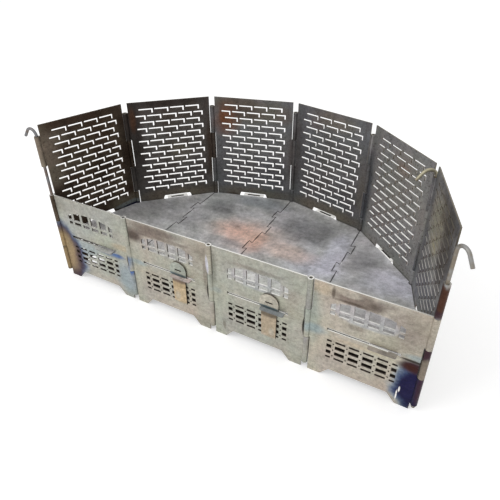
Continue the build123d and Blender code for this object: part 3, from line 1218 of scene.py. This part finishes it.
    def build(self) -> None:
        """Shapes and dresses each panel."""
        form = self.former("low_panel")
        middle, width = front_middle(), self.panel_width * MM
        for i, look in enumerate(self.LOOKS):
            station = Station(middle.x + (i - FRONT_COUNT / 2) * width, middle.y)
            paint = SheetPaint(f"front_steel_{i + 1}", station, width)
            finish = paint.dress(look, self.FAR, self.CUT)
            piece = form.grow(f"front_sheet_{i + 1}", station.beyond(width), finish)
            hand_over(piece, "hearth", f"front_panel_{i + 1}")


@dataclass(frozen=True)
class SootLook(SheetLook):
    """One side of a sheet that has stood in the fire, which is duller and dirtier."""

    rough: float = 0.46
    metal: float = 0.85
    grime: float = 0.5


@dataclass
class RearArc(Panels):
    """The tall panels, with slots in brick bond and a slot for a floor tongue."""

    height: float = 367.0
    start_first: int = 1
    start_count: int = 3
    end_first: int = 2
    end_count: int = 2
    brick_length: float = 31.5
    brick_gap: float = 4.0
    brick_pitch: float = 15.3
    brick_leg: float = 10.6
    brick_cut: float = 3.2
    brick_start: float = 31.0
    brick_overhang: float = 8.0
    brick_top: float = 351.0
    brick_count: int = 4
    brick_pairs: int = 7
    tongue_slot_low: float = 112.2
    tongue_slot_high: float = 11.5
    tongue_slot_length: float = 71.8
    tongue_slot_lean: float = 3.5
    tongue_slot_corner: float = 3.0

    # painted highlight on the cut faces that face up, painted shade on the others, and olive soot
    # on them from 180 mm up
    CUT = EdgeLook(Hue.BARE_STEEL_AND_HIGHLIGHT, Hue.SMOKE, Hue.OLIVE, 180.0, 340.0)
    LOOKS = (
        SootLook(Hue.BROWN_SOOT_AND_SHADE, Hue.UMBER, patches(
            (8, 300, 44, 90, Hue.TAN, 0.6),
            (44, 332, 30, 30, Hue.OLIVE, 0.6),
            (60, 262, 40, 24, Hue.OLIVE, 0.35),
            (22, 250, 26, 34, Hue.OLIVE, 0.6),
            (40, 190, 50, 60, Hue.BLACK_SOOT_AND_SHADE, 0.45),
            (100, 360, 130, 30, Hue.BROWN_SOOT_AND_SHADE, 0.8),
            (190, 240, 26, 120, Hue.BLACK_SOOT_AND_SHADE, 0.65),
            (110, 240, 60, 70, Hue.BLACK_SOOT_AND_SHADE, 0.3),
            (170, 134, 60, 18, Hue.OLIVE, 0.8),
            (180, 122, 56, 9, Hue.PALE_BLUE, 0.45, 0.5),
            (186, 116, 40, 4, Hue.DEEP_BLUE, 0.9, 0.5),
        ), rough=0.55, cloudy=0.9, grime=0.85),
        SootLook(Hue.GREY_SOOT, Hue.BROWN_SOOT_AND_SHADE, patches(
            (100, 124, 140, 26, Hue.TAN, 0.7),
            (100, 340, 150, 60, Hue.BROWN_SOOT_AND_SHADE, 0.55),
            (120, 230, 36, 44, Hue.OLIVE, 0.6),
            (6, 290, 44, 150, Hue.BLACK_SOOT_AND_SHADE, 0.75),
            (90, 366, 130, 24, Hue.BLACK_SOOT_AND_SHADE, 0.6),
            (14, 326, 10, 40, Hue.RUST, 0.3),
            (192, 250, 16, 120, Hue.BROWN_SOOT_AND_SHADE, 0.7),
            (130, 190, 60, 60, Hue.GREY_SOOT, 0.5),
        ), rough=0.5),
        SootLook(Hue.SLATE, Hue.GREY_SOOT, patches(
            (100, 124, 140, 24, Hue.OLIVE, 0.7),
            (50, 112, 30, 14, Hue.BROWN_SOOT_AND_SHADE, 0.6),
            (110, 340, 120, 46, Hue.OLIVE, 0.65),
            (50, 356, 90, 24, Hue.UMBER, 0.7),
            (36, 314, 48, 60, Hue.RUST, 0.85, 0.9),
            (24, 322, 12, 26, Hue.RUST, 0.6),
            (84, 334, 60, 22, Hue.RUST_BROWN, 0.4),
            (170, 330, 30, 30, Hue.SMOKE, 0.4),
            (195, 240, 12, 110, Hue.BROWN_SOOT_AND_SHADE, 0.35),
            (150, 180, 50, 60, Hue.DARK_SLATE, 0.35),
        ), rough=0.48),
        SootLook(Hue.SLATE, Hue.GREY_SOOT, patches(
            (100, 126, 140, 28, Hue.TAN, 0.75),
            (100, 350, 80, 30, Hue.TAN, 0.6),
            (60, 330, 26, 20, Hue.RUST, 0.25),
            (8, 250, 18, 110, Hue.BROWN_SOOT_AND_SHADE, 0.4),
            (190, 200, 18, 80, Hue.OLIVE, 0.4),
        ), cloudy=0.7),
        SootLook(Hue.LIGHT_GREY, Hue.MID_GREY, patches(
            (100, 118, 130, 22, Hue.OLIVE, 0.35),
            (150, 130, 60, 40, Hue.GREY_STEEL, 0.4),
            (6, 220, 20, 150, Hue.DARK_SLATE, 0.8),
            (110, 335, 60, 26, Hue.SMOKE, 0.5),
            (116, 316, 30, 18, Hue.RUST, 0.4),
        ), cloudy=1.0, grime=0.8),
        SootLook(Hue.MID_GREY, Hue.SLATE, patches(
            (100, 170, 110, 60, Hue.SLATE, 0.5),
            (84, 300, 76, 76, Hue.PALE_OLIVE, 0.5),
            (155, 300, 50, 70, Hue.BROWN_SOOT_AND_SHADE, 0.7),
            (140, 352, 80, 22, Hue.BROWN_SOOT_AND_SHADE, 0.6),
            (92, 264, 26, 24, Hue.PALE_OLIVE, 0.6),
            (120, 330, 50, 16, Hue.BROWN_SOOT_AND_SHADE, 0.6),
            (150, 250, 30, 60, Hue.BROWN_SOOT_AND_SHADE, 0.45),
            (192, 180, 16, 60, Hue.BROWN_SOOT_AND_SHADE, 0.7),
        ), cloudy=1.0, grime=0.95),
    )
    CORNERS = {  # tints that go through to both sides, at the outer corners
        0: patches(
            (0, 48, 14, 40, Hue.BRONZE, 0.9, 0.3),
            (-2, 312, 10, 50, Hue.TAN, 0.8, 0.3),
        ),
        5: patches(
            (200, 248, 12, 36, Hue.RUST_BROWN, 1.0, 0.3),
            (200, 222, 11, 12, Hue.PURPLE, 0.9, 0.5),
            (200, 104, 12, 40, Hue.TAN, 0.95, 0.3),
            (200, 140, 12, 22, Hue.PURPLE, 1.0, 0.4),
            (196, 110, 5, 36, Hue.RUST_BROWN, 0.8, 0.6),
            (200, 88, 11, 12, Hue.TAN, 0.6, 0.5),
        ),
    }
    HEAT = (  # each panel's tint outside: where its middle is, its size, and how blue it is
        (96, 150, 0.9, 0.8),
        (118, 176, 1.1, 1.0),
        (84, 158, 0.8, 0.5),
        (104, 190, 1.2, 0.7),
        (120, 150, 1.0, 1.2),
        (76, 170, 0.9, 0.4),
    )
    RINGS = (  # a tint's rings from the outer one in, and whether each is a blue one
        ((0, 30, 110, 84, Hue.STRAW, 0.4), False),
        ((4, 18, 88, 64, Hue.OLIVE, 0.45), False),
        ((-6, 8, 70, 50, Hue.PURPLE, 0.35), True),
        ((0, 0, 52, 36, Hue.BLUE, 0.5), True),
    )
    OUTER_SMOKE = (340, 120, 50, Hue.SMOKE, 0.5)  # a stain outside, but for its X
    OUTER_FOOT = (40, 90, 30, Hue.OLIVE, 0.3)

    def back(self, number: int) -> SheetLook:
        """The outer side of a panel, where the fire has tinted the middle.

        Args:
            number: Which panel, from 0.

        Returns:
            The look.
        """
        x, z, size, blue = self.HEAT[number]
        rings = [
            (x + right, z + up, wide * size, high * size, hue, strength * (blue if is_blue else 1))
            for (right, up, wide, high, hue, strength), is_blue in self.RINGS
        ]
        others = ((self.panel_width - x, *self.OUTER_SMOKE), (x, *self.OUTER_FOOT))
        return SheetLook(Hue.GREY_STEEL, Hue.WARM_STEEL, patches(*rings, *others))

    def brick(self, form: Former, length: Value) -> Value:
        """A slot like a brick's top joint with the upright joint at its right end.

        Args:
            form: The tree.
            length: How long the brick is.

        Returns:
            Its outline, drawn from its top right corner.
        """
        cut, leg = form["brick_cut"], form["brick_leg"]
        joint = [(-cut, -cut), (-cut, -leg), (0.0, -leg), (0.0, 0.0)]
        return form.line([(-length, -cut), *joint, (-length, 0.0)])

    def bond(self, form: Former) -> list[Value]:
        """The slots in brick bond, with a long end in every other row.

        Args:
            form: The tree.

        Returns:
            Their outlines.
        """
        length, gap, over = form["brick_length"], form["brick_gap"], form["brick_overhang"]
        count, pairs, step = form["brick_count"], form["brick_pairs"], length + gap
        whole, short = self.brick(form, length), self.brick(form, step / 2 - gap + over)
        first, start = form["brick_start"] + length, form["brick_start"] + step / 2

        def even(row: Value) -> Value:
            """The top of an even row."""
            return form["brick_top"] - row * 2 * form["brick_pitch"]

        def odd(row: Value) -> Value:
            """The top of an odd row."""
            return even(row) - form["brick_pitch"]

        straight = form.lattice(count, pairs, lambda i: first + i * step, even)
        shifted = form.lattice(count - 1, pairs, lambda i: first + step / 2 + i * step, odd)
        far = step * (count - 0.5) + over
        ends = form.lattice(2, pairs, lambda i: start - gap + i * far, odd)
        bricks = ((straight, whole), (shifted, whole), (ends, short))
        return [form.stamp(points, brick) for points, brick in bricks]

    def openings(self, form: Former) -> list[Value]:
        """The slots in brick bond, and the wide slot over the floor.

        Args:
            form: The tree.

        Returns:
            Their outlines.
        """
        middle, half = form["panel_width"] / 2, form["tongue_slot_length"] / 2
        top, low = half - form["tongue_slot_lean"], form["tongue_slot_low"]
        high, bend = low + form["tongue_slot_high"], form["tongue_slot_corner"]
        sill = [(middle - half, low), (middle + half, low)]
        corners = [*sill, (middle + top, high), (middle - top, high)]
        return [*self.bond(form), form.line(corners, [0.0, 0.0, bend, bend])]

    def build(self) -> None:
        """Shapes and dresses each panel."""
        form = self.former("tall_panel")
        axes, width = ring_axes(), self.panel_width * MM
        for i, look in enumerate(self.LOOKS):
            start, end = axes[i], axes[i + 1]
            station = Station(start.x, start.y, math.atan2(end.y - start.y, end.x - start.x))
            paint = SheetPaint(f"rear_steel_{i + 1}", station, width)
            finish = paint.dress(look, self.back(i), self.CUT, self.CORNERS.get(i, ()))
            piece = form.grow(f"rear_sheet_{i + 1}", station, finish)
            hand_over(piece, f"wall_{i + 1}", f"rear_panel_{i + 1}")


@dataclass
class FloorPlates:
    """The floor: one run of stains over all its plates, and a painted highlight on the tongues
    beyond the walls.
    """

    ring_middle: float = -23.0
    wall_from: float = 386.5
    wall_to: float = 388.0
    side_angle: float = 28.906
    hole_from: float = 389.5
    hole_to: float = 395.0
    hole_half: float = 17.0
    hole_soft: float = 1.0
    hole_end_soft: float = 2.0
    front_reach: float = 4.0
    rim_from: float = -200.0
    rim_back: float = -2.4
    rim_low: float = 112.4
    tab_half: float = 16.0
    tab_depth: float = 9.0
    tab_pitch: float = 72.0
    seam_width: float = 2.6
    seam_reach: float = 0.62

    # painted shade on the floor's cut faces behind the front row
    EDGE = EdgeLook(Hue.DULL_EDGE, Hue.BLACK_SOOT_AND_SHADE)
    UNDER = SheetLook(Hue.GREY_SOOT, Hue.SMOKE, rough=0.6)
    TOP = SheetLook(
        Hue.FLOOR_GREY, Hue.ASH, rough=0.5, metal=0.15, cloudy=0.8, grime=0.3, drift=0.1
    )
    SEAM_SOOT = (Hue.BLACK_SOOT_AND_SHADE, 0.8, 0.9)  # hue, strength and softness
    SEAMS = (  # where each starts, how far it leans, its first tab, that tab's side, its length
        (-200.0, 6.3, 98.0, -1, 328.0),
        (0.0, 0.0, 82.0, 1, 378.0),
        (200.0, -6.3, 98.0, 1, 328.0),
    )
    FLOOR_STAINS_AND_LIGHT = patches(
        # painted light on the strip behind the front row
        (0, 40, 440, 66, Hue.BARE_STEEL_AND_HIGHLIGHT, 0.7),
        (-280, 190, 110, 80, Hue.FLOOR_DARK, 0.45),
        (-250, 250, 60, 30, Hue.FLOOR_DARK, 0.4),
        (-165, 180, 60, 50, Hue.FLOOR_DARK, 0.45),
        (-135, 268, 56, 56, Hue.FLOOR_DARK, 0.8),
        (-128, 262, 26, 36, Hue.GREY_SOOT, 0.35),
        (-60, 330, 100, 44, Hue.FLOOR_BLUE, 0.8),
        (90, 266, 110, 72, Hue.FLOOR_DARK, 0.9),
        (105, 262, 60, 46, Hue.GREY_SOOT, 0.3),
        (60, 340, 60, 24, Hue.FLOOR_DARK, 0.4),
        (240, 210, 44, 80, Hue.FLOOR_DARK, 0.75),
        (270, 290, 60, 30, Hue.FLOOR_DARK, 0.4),
        (176, 220, 34, 100, Hue.LILAC, 0.85),
        (150, 150, 90, 50, Hue.LILAC, 0.8),
        (310, 170, 80, 56, Hue.LILAC, 0.8),
        (-20, 190, 150, 90, Hue.DUSTY_ROSE, 1.0, 1.0),
        (-48, 192, 90, 56, Hue.ROSE_RUST, 0.75, 1.0),
        (4, 168, 34, 64, Hue.ROSE_RUST, 0.8, 0.9),
        (90, 168, 80, 40, Hue.DUSTY_ROSE, 0.75),
        (-60, 146, 60, 16, Hue.FLOOR_DARK, 0.5),
    )
    FRONT_STAINS_AND_LIGHT = patches(
        (-72, -10, 40, 20, Hue.DUSTY_ROSE, 0.7, 0.3),
        (328, -10, 40, 20, Hue.WARM_STEEL, 0.8, 0.3),
        (128, -10, 40, 20, Hue.FLOOR_BLUE, 0.9, 0.3),
        # painted highlight along the slits' lower edge
        (150, -0.6, 370, 1.8, Hue.BARE_STEEL_AND_HIGHLIGHT, 1.0, 0.4),
        # painted shade along the foot of the front row, seen through the slits
        (0, 3.6, 900, 2.0, Hue.BLACK_SOOT_AND_SHADE, 0.9, 0.4),
    )

    def seam(self, x: float, lean: float, tab: float, side: int, end: float) -> list[Patch]:
        """Soot in a seam, which runs straight back but for tabs to its right and left by turns.

        Args:
            x: Where it starts at the front row.
            lean: How far it has moved to the right at its end.
            tab: Where its first tab is.
            side: 1 if that is to the right, and -1 if to the left.
            end: How long it is.

        Returns:
            Narrow stains, one for each straight run.
        """
        runs, low, half = [], 0.0, self.tab_half
        while tab + half * 2 < end:
            runs += [(low, tab - half, 0), (tab - half, tab + half, side * self.tab_depth)]
            low, tab, side = tab + half, tab + self.tab_pitch, -side
        stains = []
        for low, high, shift in [*runs, (low, end, 0)]:
            y = (low + high) / 2
            place, reach = (x + lean * y / end + shift, y), (high - low) * self.seam_reach
            stains.append(Patch(*place, self.seam_width, reach, *self.SEAM_SOOT))
        return stains

    def top(self) -> SheetLook:
        """The floor's upper side, with soot along its seams.

        Returns:
            The look.
        """
        seams = [stain for seam in self.SEAMS for stain in self.seam(*seam)]
        return replace(self.TOP, stains=(*self.FLOOR_STAINS_AND_LIGHT, *seams, *self.FRONT_STAINS_AND_LIGHT))

    def rim(self, paint: SheetPaint) -> Value:
        """Where the front tongues' cut faces get a painted highlight, beyond the front row.

        Args:
            paint: The floor's paint.

        Returns:
            A mask from 0 to 1.
        """
        across, deep, height = (paint.part(paint.place, axis) for axis in "XYZ")
        rim = 1 - paint.smooth(abs(paint.part(paint.facing, "Z")), *paint.FLAT_STEP)
        rim = rim * (deep < self.front_reach * MM) * (deep > self.rim_back * MM)
        return rim * (across > self.rim_from * MM) * (height > self.rim_low * MM)

    def tongues(self, paint: SheetPaint) -> tuple[Value, Value]:
        """Where the rear tongues get a painted highlight beyond the walls, and where painted shade
        darkens their holes.

        Args:
            paint: The floor's paint.

        Returns:
            Two masks from 0 to 1.
        """

        def step(value: Value, low: float, wide: float = self.hole_soft) -> Value:
            """A soft step in millimetres."""
            return paint.smooth(value, low * MM, (low + wide) * MM)

        across = paint.part(paint.place, "X")
        back = paint.part(paint.place, "Y") - self.ring_middle * MM
        away = paint.maths("SQRT", across * across + back * back)
        side = math.radians(self.side_angle)
        turn = paint.maths("ARCTAN2", across, back) / side
        angle = (turn - paint.maths("FLOOR", turn) - 0.5) * side
        out = away * paint.maths("COSINE", angle)
        along = abs(away * paint.maths("SINE", angle))
        # painted highlight on the tongues beyond the walls
        painted_light_beyond_walls = step(out, self.wall_from, self.wall_to - self.wall_from)
        # painted shade over the tongues' holes
        hole = step(out, self.hole_from) * (1 - step(out, self.hole_to))
        soft = self.hole_end_soft
        return painted_light_beyond_walls, hole * (1 - step(along, self.hole_half - soft, soft))

    def build(self) -> None:
        """Dresses the plates."""
        middle = front_middle()
        paint = SheetPaint("floor_steel", Station(middle.x, middle.y), 0.0, flat=True)
        painted_light_beyond_walls, hole = self.tongues(paint)
        bright = paint.maths("MAXIMUM", painted_light_beyond_walls, self.rim(paint))
        # painted highlight on the tongues beyond the walls and at the front slits, painted shade
        # over the rear tongues' holes
        masks = ((bright, Hue.BARE_STEEL_AND_HIGHLIGHT), (hole, Hue.BLACK_SOOT_AND_SHADE))
        names = [f"floor_plate_{i + 1}" for i in range(FRONT_COUNT)]
        put_on(names, paint.dress(self.top(), self.UNDER, self.EDGE, masks=masks))
        log.info("%s dressed", ", ".join(names))


@dataclass(frozen=True)
class RodLook:
    """A rod's plain hue, its second hue, and how much its surface is metal."""

    hue: Hue
    other: Hue
    metal: float = 0.7

    CLOUDS = Noise(40, 4)
    CLOUD_STEP = (0.4, 0.62)
    SPECKS = Noise(300)
    SPECK_SPREAD = 0.4
    SHINE = Noise(120)
    SHINE_FROM = 0.35
    SHINE_SPREAD = 0.2

    def dress(self, name: str) -> bpy.types.Material:
        """Makes the rod's material.

        Args:
            name: The material's name.

        Returns:
            The material.
        """
        paint = Paint(name)
        place = paint.node("ShaderNodeTexCoord", {}, "Object")
        cloud = paint.smooth(paint.noise(place, self.CLOUDS), *self.CLOUD_STEP)
        specks = paint.noise(place, self.SPECKS) * self.SPECK_SPREAD + (1 - self.SPECK_SPREAD / 2)
        colour = paint.vector("MULTIPLY", paint.mix(cloud, self.hue, self.other), specks)
        rough = paint.noise(place, self.SHINE) * self.SHINE_SPREAD + self.SHINE_FROM
        sockets = {"Base Color": colour, "Roughness": rough, "Metallic": self.metal}
        return paint.show(paint.node("ShaderNodeBsdfPrincipled", sockets))


@dataclass
class Rods:
    """The hinge pins, plain and hooked."""

    radius: float = 3.0
    tip: float = 0.7
    low: float = 17.4
    zone: float = 66.0
    short: float = 4.8
    front_zones: int = 3
    rear_zones: int = 5
    stubs: int = 3
    shank_top: float = 345.0
    bend: float = 13.5
    turn: float = 142.0
    tail: float = 17.5

    SIDES = 20
    BEND_STEPS = 24
    TIP_SHARE = 0.8
    PLAIN = RodLook(Hue.GREY_SOOT, Hue.OLIVE)
    REAR_BODIES = ("wall_1", "wall_2", "wall_4", "wall_5")
    HOOKS = (  # node, body, which rear hinge, where the hook points, how far it hangs lower, look
        ("hook_pin_left", "left_hook", 0, 178.0, 0.0, RodLook(Hue.SMOKE, Hue.SLATE)),
        ("hook_pin_inner", "inner_hook", 5, 213.0, 0.0, RodLook(Hue.DRY_OLIVE, Hue.TAN)),
        ("hook_pin_right", "right_hook", 6, -46.0, 10.0, RodLook(Hue.TAN, Hue.GREY_STEEL)),
    )

    def rod(self, form: Former, line: Value) -> Value:
        """A round rod along a line, a little thinner at its very ends.

        Args:
            form: The tree.
            line: The line, in the flat.

        Returns:
            The rod, stood up.
        """
        ends = form.node("GeometryNodeCurveEndpointSelection", {})
        thin = 1 - ends * (1 - self.TIP_SHARE)
        return form.stood_up(form.swept(line, form.circle(self.SIDES, form["radius"]), thin))

    def straight_former(self) -> Former:
        """The tree for a straight pin, or a run of stubs on one line.

        Returns:
            The tree.
        """
        sizes = {"radius": self.radius, "tip": self.tip, "length": self.zone - self.short}
        sizes |= {"low": self.low, "count": 1, "pitch": self.zone * 2}
        form = Former("straight_pin", sizes)
        heights = (0.0, form["tip"], form["length"] - form["tip"], form["length"])
        line = form.line([(0.0, height) for height in heights], closed=False)
        place = form.point(0, 0, form["low"] + form.index() * form["pitch"])
        return form.close(form.stamp(form.points(form["count"], place), self.rod(form, line)))

    def hooked_former(self) -> Former:
        """The tree for a pin whose top is bent over into a hook.

        Returns:
            The tree.
        """
        sizes = {"radius": self.radius, "tip": self.tip, "low": self.low, "top": self.shank_top}
        sizes |= {"bend": self.bend, "turn": self.turn, "tail": self.tail}
        form = Former("hooked_pin", sizes)
        turn = form.maths("RADIANS", form["turn"])
        reach = form["bend"] * form.maths("TANGENT", turn / 2)
        corner, end = form["top"] + reach, reach + form["tail"]
        across, down = form.maths("SINE", turn), form.maths("COSINE", turn)
        shank = [(0.0, form["low"]), (0.0, form["low"] + form["tip"]), (0.0, corner)]
        tail = [(across * far, corner + down * far) for far in (end - form["tip"], end)]
        radii = [0.0, 0.0, form["bend"], 0.0, 0.0]
        line = form.line([*shank, *tail], radii, self.BEND_STEPS, closed=False)
        return form.close(self.rod(form, line))

    def build(self) -> None:
        """Shapes and dresses the pins."""
        form, finish = self.straight_former(), self.PLAIN.dress("pin_steel")
        front = self.zone * self.front_zones - self.short
        rear = self.zone * self.rear_zones - self.short
        for i in range(1, FRONT_COUNT):
            self.pin(form, f"front_pin_{i}", "hearth", finish, length=front)
        for i, body in enumerate(self.REAR_BODIES, 1):
            sizes = {"count": self.stubs} if i == REAR_COUNT // 2 else {"length": rear}
            self.pin(form, f"rear_pin_{i}", body, finish, **sizes)
        form, axes = self.hooked_former(), ring_axes()
        for node, body, corner, angle, drop, look in self.HOOKS:
            axis = axes[corner]
            station = Station(axis.x, axis.y, math.radians(angle), -drop * MM)
            piece = form.grow(f"{body}_rod", station, look.dress(f"{body}_steel"))
            hand_over(piece, body, node)

    def pin(
        self, form: Former, node: str, body: str, finish: bpy.types.Material, **sizes: float
    ) -> None:
        """Shapes a straight pin.

        Args:
            form: The tree.
            node: The node that it stands for.
            body: The body that it rides on.
            finish: Its material.
            sizes: Its own sizes.
        """
        middle = middle_of(node)
        piece = form.grow(f"{node}_rod", Station(middle.x, middle.y), finish, **sizes)
        hand_over(piece, body, node)


@dataclass
class Keys:
    """The flat locking keys: a round head with a finger slot, and a blade that narrows."""

    sheet: float = 2.5
    half_blade: float = 16.0
    taper: float = 1.5
    foot: float = 45.0
    shoulder_low: float = 115.0
    half_head: float = 19.0
    head_side: float = 14.0
    slot_half: float = 7.5
    slot_low: float = 127.5
    slot_high: float = 3.2

    ROUND_STEPS = 16
    PAINT_WIDTH = 1.0  # metres, so that no knuckle is left plain at the right
    # painted shade on the keys' cut faces, darkest on those that don't face up
    EDGE = EdgeLook(Hue.SMOKE, Hue.BLACK_SOOT_AND_SHADE)
    LOOKS = {
        "left_key": SheetLook(Hue.GREEN_STEEL, Hue.PALE_STEEL, patches(
            (0, 76, 40, 36, Hue.STRAW, 0.9, 0.3),
            (-6, 64, 10, 18, Hue.CREAM, 0.6),
            (0, 103, 40, 9, Hue.PURPLE, 0.7),
            (0, 92, 40, 8, Hue.BRONZE, 0.5),
            (0, 118, 40, 5, Hue.TEAL, 0.9),
        ), drift=0.1),
        "right_key": SheetLook(Hue.CREAM, Hue.CREAM, patches(
            (0, 76, 40, 36, Hue.KEY_TAN, 0.9, 0.3),
            (6, 60, 8, 14, Hue.CREAM, 0.7),
            # painted shadow under the lip
            (0, 101, 40, 9, Hue.UMBER, 0.85),
            (0, 118, 40, 5, Hue.TEAL, 0.95),
        ), drift=0.1),
    }

    def former(self) -> Former:
        """The tree for a key.

        Returns:
            The tree.
        """
        form = Former("locking_key", asdict(self))
        half, wide, low = form["half_blade"], form["half_head"], form["shoulder_low"]
        foot, narrow = form["foot"], half - form["taper"]
        top = low + form["head_side"] + wide
        head = [(half, low), (wide, low), (wide, top), (-wide, top), (-wide, low), (-half, low)]
        radii = [0.0, 0.0, wide, wide, 0.0, 0.0, 0.0, 0.0]
        edge = form.line([*head, (-narrow, foot), (narrow, foot)], radii, self.ROUND_STEPS)
        reach, slot_low = form["slot_half"], form["slot_low"]
        slot = form.box(-reach, reach, slot_low, slot_low + form["slot_high"])
        return form.close(form.cut_sheet(edge, [slot], form["sheet"]))

    def build(self) -> None:
        """Shapes and dresses the keys."""
        form = self.former()
        for i, (body, look) in enumerate(self.LOOKS.items(), 1):
            middle = middle_of(f"locking_key_{i}")
            paint = SheetPaint(f"key_steel_{i}", Station(middle.x, middle.y), self.PAINT_WIDTH)
            finish = paint.dress(look, look, self.EDGE)
            piece = form.grow(f"{body}_plate", Station(middle.x, middle.y, math.pi), finish)
            hand_over(piece, body, f"locking_key_{i}")


@dataclass
class Studio:
    """The camera, the lamp, the world and the pale ground, in metres, radians and watts."""

    eye: Triple = (0.40064, -0.5721, 0.69788)  # from the foot of the front row's middle hinge
    yaw: float = -0.4896
    pitch: float = 0.557
    focal_pixels: float = 466.6
    centre_x: float = 255.0
    centre_y: float = 219.4
    picture: int = 500
    sensor: float = 36.0  # millimetres
    near_clip: float = 0.01

    lamp_place: Triple = (-1.5, -1.7, 2.6)
    lamp_side: float = 1.6
    lamp_power: float = 26.0
    sky: float = 0.72
    ground_half: float = 6.0
    ground_glow: float = 0.45
    ring_centre: Triple = (0.0, -0.023, 0.0)  # from the same foot
    ring_radius: float = 0.38
    shade_from: float = 0.026  # behind the front row
    shade_soft: float = 0.6  # a share of that

    WHITE = (1, 1, 1, 1)

    def build(self) -> None:
        """Makes the camera, the lights, the world and the ground."""
        middle = front_middle()
        foot = Vector((middle.x, middle.y, 0))
        self.camera(foot)
        self.world()
        self.lamp()
        self.ground(foot)

    def place(self, name: str, data: Any, spot: Vector, ahead: Vector) -> bpy.types.Object:
        """Puts a camera or a lamp in its place.

        Args:
            name: Its name.
            data: Its data.
            spot: Where it stands.
            ahead: Where it looks.

        Returns:
            Its object.
        """
        made = bpy.data.objects.new(name, data)
        bpy.context.scene.collection.objects.link(made)
        made.location = spot
        made.rotation_mode = "QUATERNION"
        made.rotation_quaternion = ahead.to_track_quat("-Z", "Y")
        return made

    def camera(self, foot: Vector) -> None:
        """Makes the camera from the photograph's own view.

        Args:
            foot: The foot of the front row's middle hinge.
        """
        data = bpy.data.cameras.new("camera")
        data.sensor_width = self.sensor
        data.lens = self.focal_pixels / self.picture * self.sensor
        data.shift_x = 0.5 - self.centre_x / self.picture
        data.shift_y = self.centre_y / self.picture - 0.5
        data.clip_start = self.near_clip
        level = math.cos(self.pitch)
        right, back = math.sin(self.yaw) * level, math.cos(self.yaw) * level
        ahead = Vector((right, back, -math.sin(self.pitch)))
        spot = foot + Vector(self.eye)
        bpy.context.scene.camera = self.place("camera", data, spot, ahead)

    @staticmethod
    def seen(tree: Tree) -> Value:
        """1 for what the camera sees, straight or mirrored in the steel."""
        rays = ("Is Camera Ray", "Is Glossy Ray")
        return tree.maths("MAXIMUM", *(tree.node("ShaderNodeLightPath", {}, ray) for ray in rays))

    def world(self) -> None:
        """Makes a world that shows white and lights the object at a plain level."""
        world = bpy.data.worlds.new("world")
        bpy.context.scene.world = world
        world.use_nodes = True
        world.node_tree.nodes.clear()
        tree = Tree(world.node_tree)
        strength = self.seen(tree) * (1 - self.sky) + self.sky
        sockets = {"Color": self.WHITE, "Strength": strength}
        tree.end("ShaderNodeOutputWorld", "Surface", tree.node("ShaderNodeBackground", sockets))

    def lamp(self) -> None:
        """Makes a soft lamp that looks at the object."""
        data = bpy.data.lights.new("lamp", "AREA")
        data.size = self.lamp_side
        data.energy = self.lamp_power
        spot = Vector(self.lamp_place)
        self.place("lamp", data, spot, -spot)

    def ground(self, foot: Vector) -> None:
        """Makes the pale ground, with painted shade under the pit, where it is dark and doesn't
        glow.

        Args:
            foot: The foot of the front row's middle hinge.
        """
        half = self.ground_half
        mesh = bpy.data.meshes.new("ground")
        square = [(-half, -half, 0), (half, -half, 0), (half, half, 0), (-half, half, 0)]
        mesh.from_pydata(square, [], [range(len(square))])
        ground = bpy.data.objects.new("ground", mesh)
        bpy.context.scene.collection.objects.link(ground)
        paint = Paint("ground")
        place = paint.node("ShaderNodeTexCoord", {}, "Object")
        from_middle = paint.vector("SUBTRACT", place, tuple(foot + Vector(self.ring_centre)))
        away = paint.vector("LENGTH", from_middle, out="Value")
        start = self.shade_from
        outside = paint.smooth(away, self.ring_radius - start / 2, self.ring_radius)
        behind = paint.part(place, "Y") - foot.y
        ahead = 1 - paint.smooth(behind, start, start * (1 + self.shade_soft))
        open_air = paint.maths("MAXIMUM", outside, ahead)
        # painted shade: dark and without glow under the pit, pale in the open
        hue = paint.mix(open_air, Hue.PAINTED_SHADE_GROUND, Hue.PALE_GROUND)
        diffuse = paint.node("ShaderNodeBsdfDiffuse", {"Color": hue})
        strength = self.seen(paint) * open_air * self.ground_glow
        sockets = {"Color": self.WHITE, "Strength": strength}
        glow = paint.node("ShaderNodeEmission", sockets)
        mesh.materials.append(paint.show(paint.node("ShaderNodeAddShader", {0: diffuse, 1: glow})))


def corners(bounds: tuple[Vector, Vector]) -> list[list[float]]:
    """A box as plain lists of numbers."""
    return [list(corner) for corner in bounds]


def main() -> None:
    """Builds and dresses every sub-assembly and sets up the studio."""
    logging.basicConfig(level=logging.INFO)
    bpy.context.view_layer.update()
    for assembly in (FrontRow(), RearArc(), FloorPlates(), Rods(), Keys(), Studio()):
        assembly.build()
    bpy.context.scene.view_settings.view_transform = "Standard"


if __name__ == "__main__":
    main()
